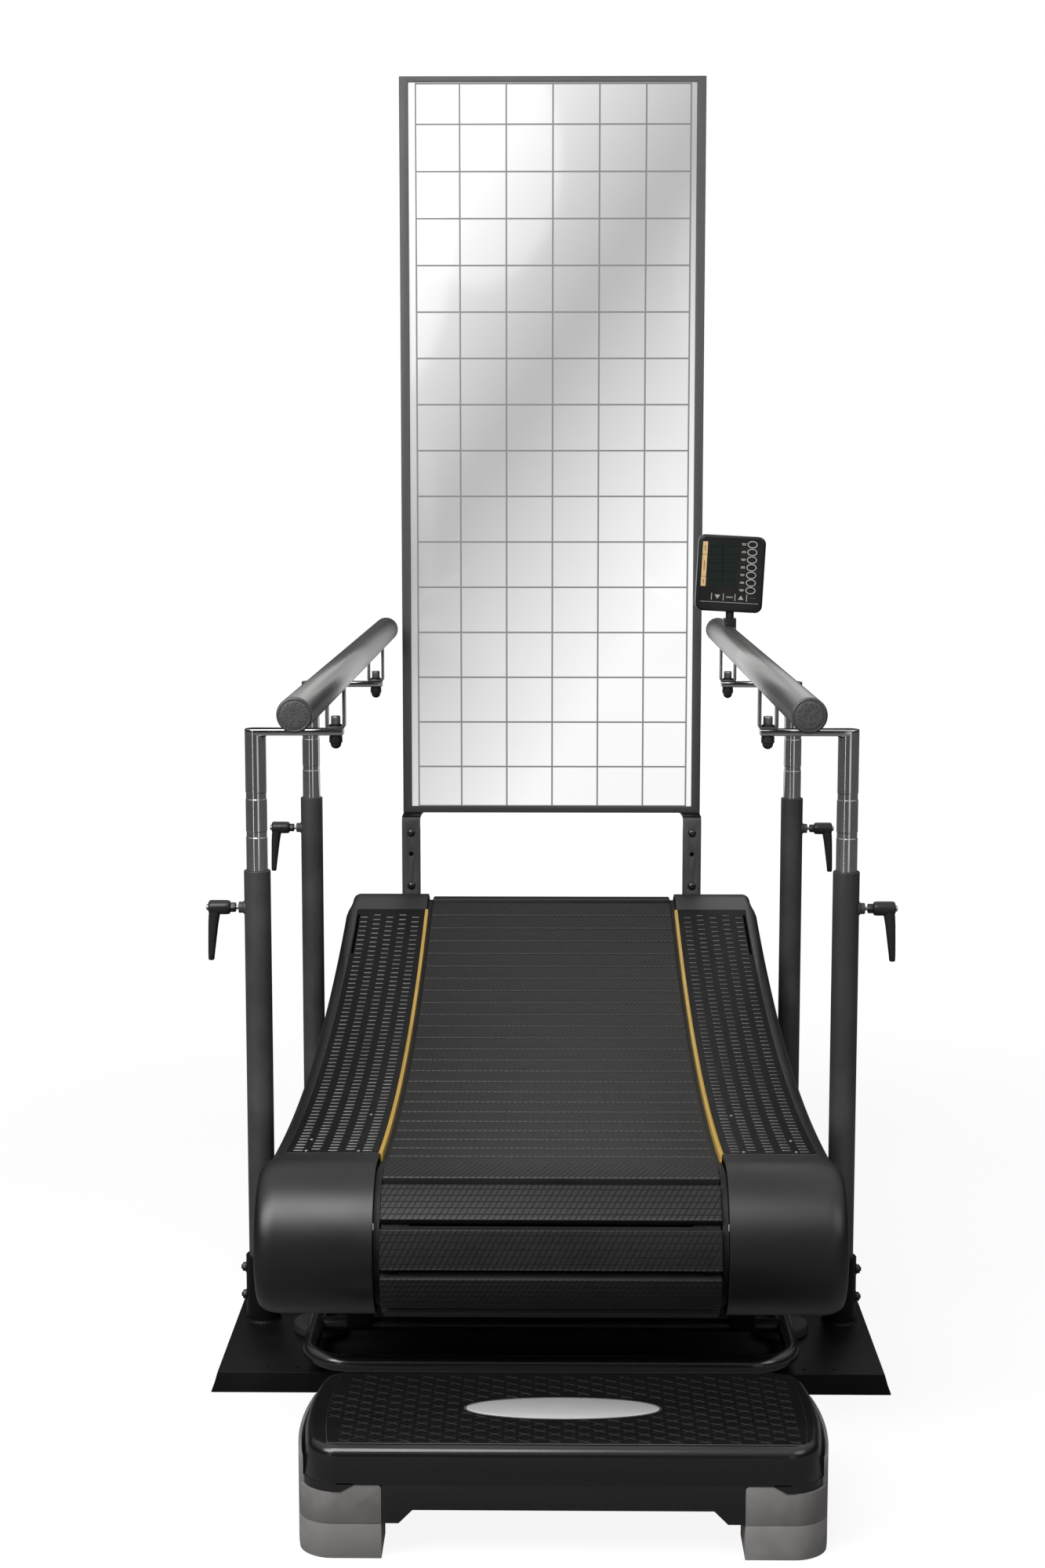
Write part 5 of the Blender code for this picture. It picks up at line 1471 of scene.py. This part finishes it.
# Slightly pale coat for the falling ribs: painted highlight on their lit sides; the rising ribs keep the
# step's own colour.
FALLING_RIB_HIGHLIGHT = powder_coat("falling_rib_painted_highlight", (0.026, 0.026, 0.027), 0.28, 0.0010, 0.00003)
# The upper blocks are painted a darker grey than the lower ones: painted shade under the shell's lip.
LOWER_GREY = powder_coat("lower_riser_plastic", (0.206, 0.198, 0.192), 0.50, 0.0012, 0.00003)
UPPER_GREY_PAINTED_SHADE = powder_coat("upper_riser_painted_shade", (0.156, 0.149, 0.144), 0.50, 0.0012, 0.00003)


def step_ring(inset, z, flare=0.0, steps=12):
    """Outline of the step at a height: straight long edges, ends that bow outwards, round corners."""
    half = STEP_HALF + flare - inset
    reach = STEP_HALF_Y - STEP_CORNER
    ring = rounded(half, STEP_HALF_Y - inset, STEP_CORNER - inset, steps)
    down, up = [[(sign * half, -sign * reach * (1 - k / 8)) for k in range(1, 16)] for sign in (-1, 1)]
    ring = ring[:2 * steps + 2] + down + ring[2 * steps + 2:] + up
    bow = [math.copysign(STEP_BOW * (b / STEP_HALF_Y) ** 2, a) for a, b in ring]
    return [(STEP_X + a - drawn, STEP_Y + b, z) for (a, b), drawn in zip(ring, bow)]


def lip_gate(inside):
    """The stretch between the corners where the shell's lip stops, with sloped ends."""
    low, at_low, at_high = STEP_LIP
    half = [(at_low, low - 0.01), (at_low, low), (at_high, STEP_SPLIT), (at_high, STEP_SPLIT + 0.03)]
    outline = [(STEP_X + a - inside, z) for a, z in half]
    outline += [(STEP_X - a + inside, z) for a, z in reversed(half)]
    return prism(outline, "Y", STEP_Y - STEP_HALF_Y - 0.02, STEP_Y + STEP_HALF_Y + 0.02)


def step_shell():
    wall, edge = STEP_WALL, 0.0004
    loops = [step_ring(wall + 0.010, STEP_TOP - wall), step_ring(wall, STEP_SHOULDER - wall),
             step_ring(wall, STEP_SPLIT, STEP_FLARE), step_ring(edge, STEP_SPLIT, STEP_FLARE),
             step_ring(0.0, STEP_SPLIT + edge, STEP_FLARE)]
    inwards, rise = SHOULDER_ROUND
    for a, b in arc(0, 0, 1, 0, 90, 12):
        loops.append(step_ring(inwards * (1 - a), STEP_SHOULDER + rise * b))
    loops += [step_ring(0.015, STEP_TOP - 0.0006), step_ring(0.030, STEP_TOP - 0.0004)]
    low, high = STEP_LIP[0], STEP_SPLIT + 0.002
    wall_ring = ((0.0, low), (0.0, high), (LIP_THICK, high), (LIP_THICK, low))
    lip = skin([step_ring(inset, z, STEP_FLARE) for inset, z in wall_ring], closed=True)
    lip = bored(lip, [lip_gate(0.0)])
    pieces = [painted(sharp(skin(loops), 50), STEP_PLASTIC), painted(lip, STEP_PLASTIC)]
    reach, high = RISER_IN - GAP, STEP_SPLIT + 0.004
    slope = SKIRT_Z - TAB_Z
    skirt = [(-reach, TAB_Z), (-reach + TAB, TAB_Z), (-reach + TAB + slope, SKIRT_Z),
             (reach - TAB - slope, SKIRT_Z), (reach - TAB, TAB_Z), (reach, TAB_Z),
             (reach, high), (-reach, high)]
    near, far = STEP_Y - STEP_HALF_Y, STEP_Y + STEP_HALF_Y
    for y0, y1 in ((near + GAP, near + wall), (far - wall, far - GAP)):
        plate = prism([(STEP_X + a, z) for a, z in skirt], "Y", y0, y1)
        pieces.append(painted(soften(plate, 0.0009, 2, 30.0), STEP_PLASTIC))
    fitted(merged("step_shell", pieces), "base", "black_plastic", "step_top")


def field_edge(y):
    """Half width of the rib field at a place along it: its ends bulge a little."""
    low, high = FIELD_V
    part = (y - (low + high) / 2 - MIDDLE_Y) / ((high - low) / 2)
    return FIELD_HALF - FIELD_BULGE * part * part


def field_border():
    """A low raised line round the field of ribs, painted pale as a painted highlight."""
    low, high = [v + MIDDLE_Y for v in FIELD_V]
    ways = [low + (high - low) * k / 16 for k in range(17)]
    edge = [(FIELD_X + field_edge(y), y) for y in ways]
    edge += [(FIELD_X - field_edge(y), y) for y in reversed(ways)]
    middle = (low + high) / 2
    loops = []
    for out, rise in BORDER:
        loops.append([(x + math.copysign(out, x - FIELD_X), y + math.copysign(out, y - middle),
                       STEP_TOP + rise) for x, y in edge])
    fitted(painted(skin(loops, closed=True, name="field_border"), STEP_RIDGE_HIGHLIGHT), "base", "black_plastic")


def rib_places():
    """Middles of the ribs: a slanted lattice cut to the field, with room for the badge."""
    low, high = [v + MIDDLE_Y for v in FIELD_V]
    across, deep = RIB_STEP
    clear_x, clear_y = RIB_CLEAR
    badge_a, badge_b = [half + clear for half, clear in zip(BADGE_HALF, BADGE_CLEAR)]
    places = []
    for column in range(-6, 34):
        for row in range(-20, 20):
            x = RIB_CROSSING[0] + (column + 0.5) * across
            y = RIB_CROSSING[1] + (row + (column + 0.5) / 2) * deep
            in_field = low + clear_y < y < high - clear_y and abs(x - FIELD_X) < field_edge(y) - clear_x
            on_badge = math.hypot((x - STEP_X) / badge_a, (y - BADGE_V - MIDDLE_Y) / badge_b) <= 1.0
            if in_field and not on_badge:
                places.append((x, y, STEP_TOP - RIB[2]))
    return places


def step_ribs(name, turn, finish):
    long, wide, tall = RIB
    tip, half = long / 2, wide / 2
    ends = [(tip, 0.0), (tip - half, half), (half - tip, half),
            (-tip, 0.0), (half - tip, -half), (tip - half, -half)]
    rings = ((1.0, 1.0, -0.0006), (1.0, 1.0, tall * 0.5), (0.96, 0.4, tall))
    rib = skin([[(x * scale_x, y * scale_y, z) for x, y in ends] for scale_x, scale_y, z in rings])
    places = [(place, (0.0, 0.0, turn)) for place in rib_places()]
    fitted(repeated(name, rib, finish, places), "base", "black_plastic")


def badge_ring(out, rise):
    """An oval about the middle of the badge."""
    half_a, half_b = BADGE_HALF
    return [(STEP_X + (half_a + out) * a, BADGE_V + MIDDLE_Y + (half_b + out) * b, STEP_TOP + rise)
            for a, b in arc(0, 0, 1, 0, 360 - 360 / 96, 95)]


def step_field():
    """Raised border, diamond ribs and the badge with its rim; the border, the rim and the falling ribs are
    painted paler as painted highlights.
    """
    field_border()
    lean = math.atan2(RIB_STEP[1] / 2, RIB_STEP[0])
    # The falling ribs in the painted highlight colour, the rising ones in the step's colour.
    step_ribs("step_ribs_falling", -lean, FALLING_RIB_HIGHLIGHT)
    step_ribs("step_ribs_rising", lean, STEP_PLASTIC)
    badge = skin([badge_ring(*edge) for edge in BADGE_EDGE], name="badge")
    fitted(painted(badge, badge_plate()), "base", "aluminium")
    rim = skin([badge_ring(*edge) for edge in BADGE_RIM], closed=True, name="badge_rim")
    # The rim is painted pale: a painted highlight.
    fitted(painted(rim, STEP_RIDGE_HIGHLIGHT), "base", "black_plastic")


def riser_drills(side, low, high):
    """The arch under the block and, for an upper one, the room for the shell's lip and skirt."""
    inner = STEP_X + side * RISER_IN
    near, far = STEP_Y - STEP_HALF_Y, STEP_Y + STEP_HALF_Y
    x0, x1 = sorted((inner - side * 0.01, STEP_X + side * (STEP_HALF + 0.02)))
    arch = block((x0, near + RISER_DEEP, low - 0.01), (x1, far - RISER_DEEP, high - RISER_BRIDGE))
    drills = [soften(arch, 0.006, 4, 40.0)]
    if high == RISER_SEAM:
        return drills
    lip = STEP_LIP[0] - RISER_ROOM
    seat = skin([step_ring(-RISER_ROOM, z, STEP_FLARE) for z in (lip, high + 0.01)])
    drills.append(bored(seat, [lip_gate(0.0004)]))
    size = RISER_CORNER
    corner = [(size * (1 - a), high - size + size * b) for a, b in arc(0, 0, 1, 0, 90, 6)]
    corner += [(size, high + 0.01), (-0.01, high + 0.01), (-0.01, high - size)]
    drills.append(prism([(inner + side * a, z) for a, z in corner], "Y", near - 0.01, far + 0.01))
    a0, a1, b0, b1 = UNDER_LIP
    x0, x1 = sorted((STEP_X + side * a0, STEP_X + side * a1))
    for end in (-1, 1):
        y0, y1 = sorted((STEP_Y + end * b0, STEP_Y + end * b1))
        drills.append(block((x0, y0, lip), (x1, y1, high + 0.01)))
    return drills


def riser(name, side, low, high, finish):
    """One stacking block: corner blocks in front and behind, joined by a bridge along the end."""
    inner, inset = STEP_X + side * RISER_IN, 0.0010
    ring = [(x, y) for x, y, _ in step_ring(inset, 0.0, RISER_FLARE + inset) if (x - STEP_X) * side > 0]
    if side > 0:
        split = next(k for k, (_, y) in enumerate(ring) if y < STEP_Y)
        ring = ring[split:] + ring[:split]
    outline = [(inner, ring[0][1]), *ring, (inner, ring[-1][1])]
    made = prism(outline, "Z", low + RISER_ROOM, high - RISER_ROOM, name + "_block")
    if high > RISER_SEAM:
        thick, along, top = RISER_CHEEK
        cheek = [(x, y) for x, y in ring if abs(y - STEP_Y) < along]
        cheek += [(x - side * thick, y) for x, y in reversed(cheek)]
        made = bored(made, [prism(cheek, "Z", high - 0.005, top)], "UNION")
    made = painted(soften(bored(made, riser_drills(side, low, high)), 0.0010, 2, 40.0), finish)
    fitted(made, "base", "grey_plastic", name)


step_shell()
step_field()
for side_name, side in SIDES:
    riser(f"{side_name}_lower_riser", side, 0.0, RISER_SEAM, LOWER_GREY)
    # The upper block takes the darker grey as painted shade.
    riser(f"{side_name}_upper_riser", side, RISER_SEAM, STEP_SPLIT, UPPER_GREY_PAINTED_SHADE)


# Console: a small black display on a short stem, clamped to the top of the right rail. Its membrane
# plate has a dark display, a cream strip, seven ringed keys and a row of marks below.
CONSOLE_X = 0.346
CONSOLE_V = 0.490
CONSOLE_Z = 1.201
CONSOLE_HALF = (0.065, 0.0735)
CONSOLE_THICK = 0.032
CONSOLE_TURN = math.radians(-3.0)
CONSOLE_Y = CONSOLE_V + MIDDLE_Y
CONSOLE_FRONT = CONSOLE_Y - CONSOLE_THICK / 2
FACE_Y = CONSOLE_FRONT + 0.0001
FRONT_ROUND = 0.0055
BACK_ROUND = ((0.0, -0.0060), (0.0012, -0.0022), (0.0050, -0.0002), (0.0070, 0.0))
PLATE_INSET = 0.0065
PLATE_CORNER = 0.012
OVERLAY_THICK = 0.0015
STEM_X = 0.346
STEM_R = 0.008
CLAMP_RISE = 0.014
CLAMP_HALF = 0.012
KEY_COLUMN = (0.0388, 0.0582, 0.01475, 7)
KEY_DRIFT = 0.0002
KEY_RING = (0.0098, 0.0070, 0.0019)
KEY_EDGE = ((0.0, 0.0003), (0.0, -0.00016), (1.0, -0.00016), (1.0, 0.0003))
KEY_MARK_A = 0.0226
KEY_MARKS = ((0.0011, 1), (-0.0013, 0))
KEY_MARK_LONG = (0.0036, 0.0044)
DIVIDER = (0.0136, 0.0575)
STRIP = (-0.0569, -0.0475, -0.0262, 0.0604)
STRIP_BREAKS = (-0.0073, 0.0353)
DISPLAY = (-0.0425, 0.0110, -0.0235, 0.0580)
DIGIT_ROWS = (0.0160, 0.0056)
DIGIT_COLUMNS = (0.0089, -0.03805)
DISPLAY_WIDE = (0.0535, -0.0157)
TICKS = (-0.0346, -0.0117, 0.0110, 0.0336)
ARROW = (0.0054, 0.0038, 0.0042)
ROW_W = -0.0450
CHIN_W = -0.0553


def console_point(a, b, y):
    """World place of a point on the console's face, a to the right and b up from its middle."""
    c, s = math.cos(CONSOLE_TURN), math.sin(CONSOLE_TURN)
    return CONSOLE_X + a * c - b * s, y, CONSOLE_Z + a * s + b * c


def console_ring(inset, y, radius=0.014):
    half_a, half_b = CONSOLE_HALF
    outline = rounded(half_a - inset, half_b - inset, max(radius - inset, 0.001), 8)
    return [console_point(a, b, y) for a, b in outline]


def face_print(name, colour):
    """Ink on the membrane, with a slight unevenness."""
    ink = Finish(name, colour, 0.42)
    darker = tuple(c * 0.82 for c in colour)
    ink.feed("Base Color", ink.mixed(ink.stretch(ink.noise(0.0011), 0.4, 0.8), colour, darker))
    return ink


CONSOLE_BLACK = powder_coat("console_plastic", (0.009, 0.009, 0.0095), 0.30, 0.0010, 0.00004)
MEMBRANE = powder_coat("membrane_black", (0.0085, 0.0085, 0.0088), 0.34, 0.0008, 0.00001)
KEY_INK = face_print("key_ink", (0.46, 0.44, 0.40))
FAINT_INK = face_print("faint_ink", (0.055, 0.055, 0.056))
CREAM_INK = face_print("cream_ink", (0.74, 0.53, 0.24))
MARK_INK = face_print("mark_ink", (0.30, 0.13, 0.03))
GREEN_INK = face_print("green_ink", (0.03, 0.10, 0.08))


def display_glass():
    """Dark liquid crystal window with the unlit segments just showing."""
    glass = Finish("display_window", (0.012, 0.017, 0.015), 0.16)
    x, _, z = glass.parts(glass.place())
    x, z = x - CONSOLE_X, z - CONSOLE_Z
    rows, columns = z.to_nearest(*DIGIT_ROWS), x.to_nearest(*DIGIT_COLUMNS)
    segment = glass.stretch(abs(columns - 0.0026), 0.0005, 0.0009, 1.0, 0.0)
    segment = segment * glass.stretch(rows, 0.0016, 0.0022)
    border = glass.stretch(rows.least(x.to_nearest(*DISPLAY_WIDE)), 0.0004, 0.0008, 1.0, 0.0)
    lit = glass.mixed(segment * 0.5, (0.013, 0.019, 0.0165), (0.009, 0.013, 0.0115))
    glass.feed("Base Color", glass.mixed(border, lit, (0.005, 0.007, 0.006)))
    return glass


def console_body():
    loops = []
    for a, b in arc(0, 0, 1, 0, 90, 8):
        loops.append(console_ring(FRONT_ROUND * (1 - b), CONSOLE_FRONT + FRONT_ROUND * (1 - a)))
    loops += [console_ring(inset, CONSOLE_FRONT + CONSOLE_THICK + way) for inset, way in BACK_ROUND]
    pocket = skin([console_ring(PLATE_INSET, y, PLATE_CORNER)
                   for y in (CONSOLE_FRONT - 0.01, CONSOLE_FRONT + OVERLAY_THICK)])
    shell = sharp(painted(bored(skin(loops), [pocket]), CONSOLE_BLACK), 50)
    low = RAIL_Z + RAIL_R + CLAMP_RISE + GAP
    stem = [(STEM_R - 0.0005, low), (STEM_R, low + 0.0005), (STEM_R, CONSOLE_Z - CONSOLE_HALF[1] + 0.010)]
    stem = sharp(painted(turned(stem, "Z", (STEM_X, CONSOLE_Y, 0), 40), CONSOLE_BLACK), 40)
    fitted(merged("console_housing", [shell, stem]), "console", "black_plastic", "console_body")


def on_face(outline, finish, proud=0.00012):
    """A flat print on the membrane, from its outline in face places."""
    loops = [[console_point(a, b, FACE_Y + sink) for a, b in outline] for sink in (GAP, -proud)]
    return painted(skin(loops, smooth=False), finish)


def bar_on_face(a0, a1, b0, b1, finish, proud=0.00012):
    return on_face([(a0, b0), (a1, b0), (a1, b1), (a0, b1)], finish, proud)


def keys():
    """Seven ringed keys in a column, two short marks beside each and a faint line between them."""
    column, first, pitch, count = KEY_COLUMN
    wide, tall, stroke = KEY_RING
    left, right = DIVIDER
    pieces = []
    for k in range(count):
        a, b = column + KEY_DRIFT * k, first - pitch * k
        loops = []
        for thinner, rise in KEY_EDGE:
            less = stroke * thinner
            loops.append([console_point(a + (wide - less) * c, b + (tall - less) * s, FACE_Y + rise)
                          for c, s in arc(0, 0, 1, 0, 351, 39)])
        pieces.append(painted(skin(loops, closed=True), KEY_INK))
        for rise, odd in KEY_MARKS:
            long, line = KEY_MARK_LONG[(k + odd) % 2], b + rise
            mark = (KEY_MARK_A - long, KEY_MARK_A + long, line - 0.0007, line + 0.0007)
            pieces.append(bar_on_face(*mark, KEY_INK))
        if k:
            between = b + pitch / 2
            pieces.append(bar_on_face(left, right, between - 0.0002, between + 0.0002, FAINT_INK))
    return pieces


def console_keypad():
    """The membrane plate with its display, keys, cream strip and the row of marks."""
    plate = skin([console_ring(PLATE_INSET + GAP, y, PLATE_CORNER)
                  for y in (FACE_Y, FACE_Y + OVERLAY_THICK - 0.0004)], smooth=False)
    pieces = [painted(plate, MEMBRANE), bar_on_face(*DISPLAY, display_glass(), 0.00008), *keys()]
    left, right, low, high = STRIP
    middle = (left + right) / 2
    breaks = (low, *STRIP_BREAKS, high)
    for b0, b1 in zip(breaks, breaks[1:]):
        centre, reach = (b0 + b1) / 2, (b1 - b0) * 0.22
        pieces.append(bar_on_face(left, right, b0 + 0.0004, b1 - 0.0004, CREAM_INK))
        mark = (middle - 0.0008, middle + 0.0008, centre - reach, centre + reach)
        pieces.append(bar_on_face(*mark, MARK_INK, 0.00020))
    for a in TICKS:
        pieces.append(bar_on_face(a - 0.0007, a + 0.0007, ROW_W - 0.0066, ROW_W + 0.0066, KEY_INK))
    half, foot_b, tip_b = ARROW
    for a, up in (((TICKS[0] + TICKS[1]) / 2, -1), ((TICKS[2] + TICKS[3]) / 2, 1)):
        foot_w = ROW_W - up * foot_b
        pieces.append(on_face([(a - half, foot_w), (a + half, foot_w), (a, ROW_W + up * tip_b)], KEY_INK))
    pieces.append(bar_on_face(-0.0063, 0.0063, ROW_W - 0.0009, ROW_W + 0.0009, KEY_INK))
    pieces.append(bar_on_face(0.0395, 0.0510, ROW_W - 0.0008, ROW_W + 0.0008, GREEN_INK))
    pieces.append(bar_on_face(-0.0570, 0.0560, CHIN_W - 0.0004, CHIN_W + 0.0004, KEY_INK, 0.0003))
    fitted(merged("console_face", pieces), "console", "black_plastic", "console_keypad")


def console_clamp():
    """Square block with a round seat, screwed down on top of the rail."""
    half, top = CLAMP_HALF, RAIL_Z + RAIL_R
    saddle = block((STEM_X - half, CONSOLE_Y - half, top - 0.012),
                   (STEM_X + half, CONSOLE_Y + half, top + CLAMP_RISE))
    saddle.name = "saddle"
    seat = drill("Y", (PIVOT_X, 0, RAIL_Z), CONSOLE_Y - 0.03, CONSOLE_Y + 0.03, RAIL_R + GAP, 96)
    saddle = soften(bored(saddle, [seat]), 0.0006, 2, 40.0)
    fitted(painted(saddle, CONSOLE_BLACK), "right_rail", "black_plastic", "console_clamp")


console_body()
console_keypad()
console_clamp()
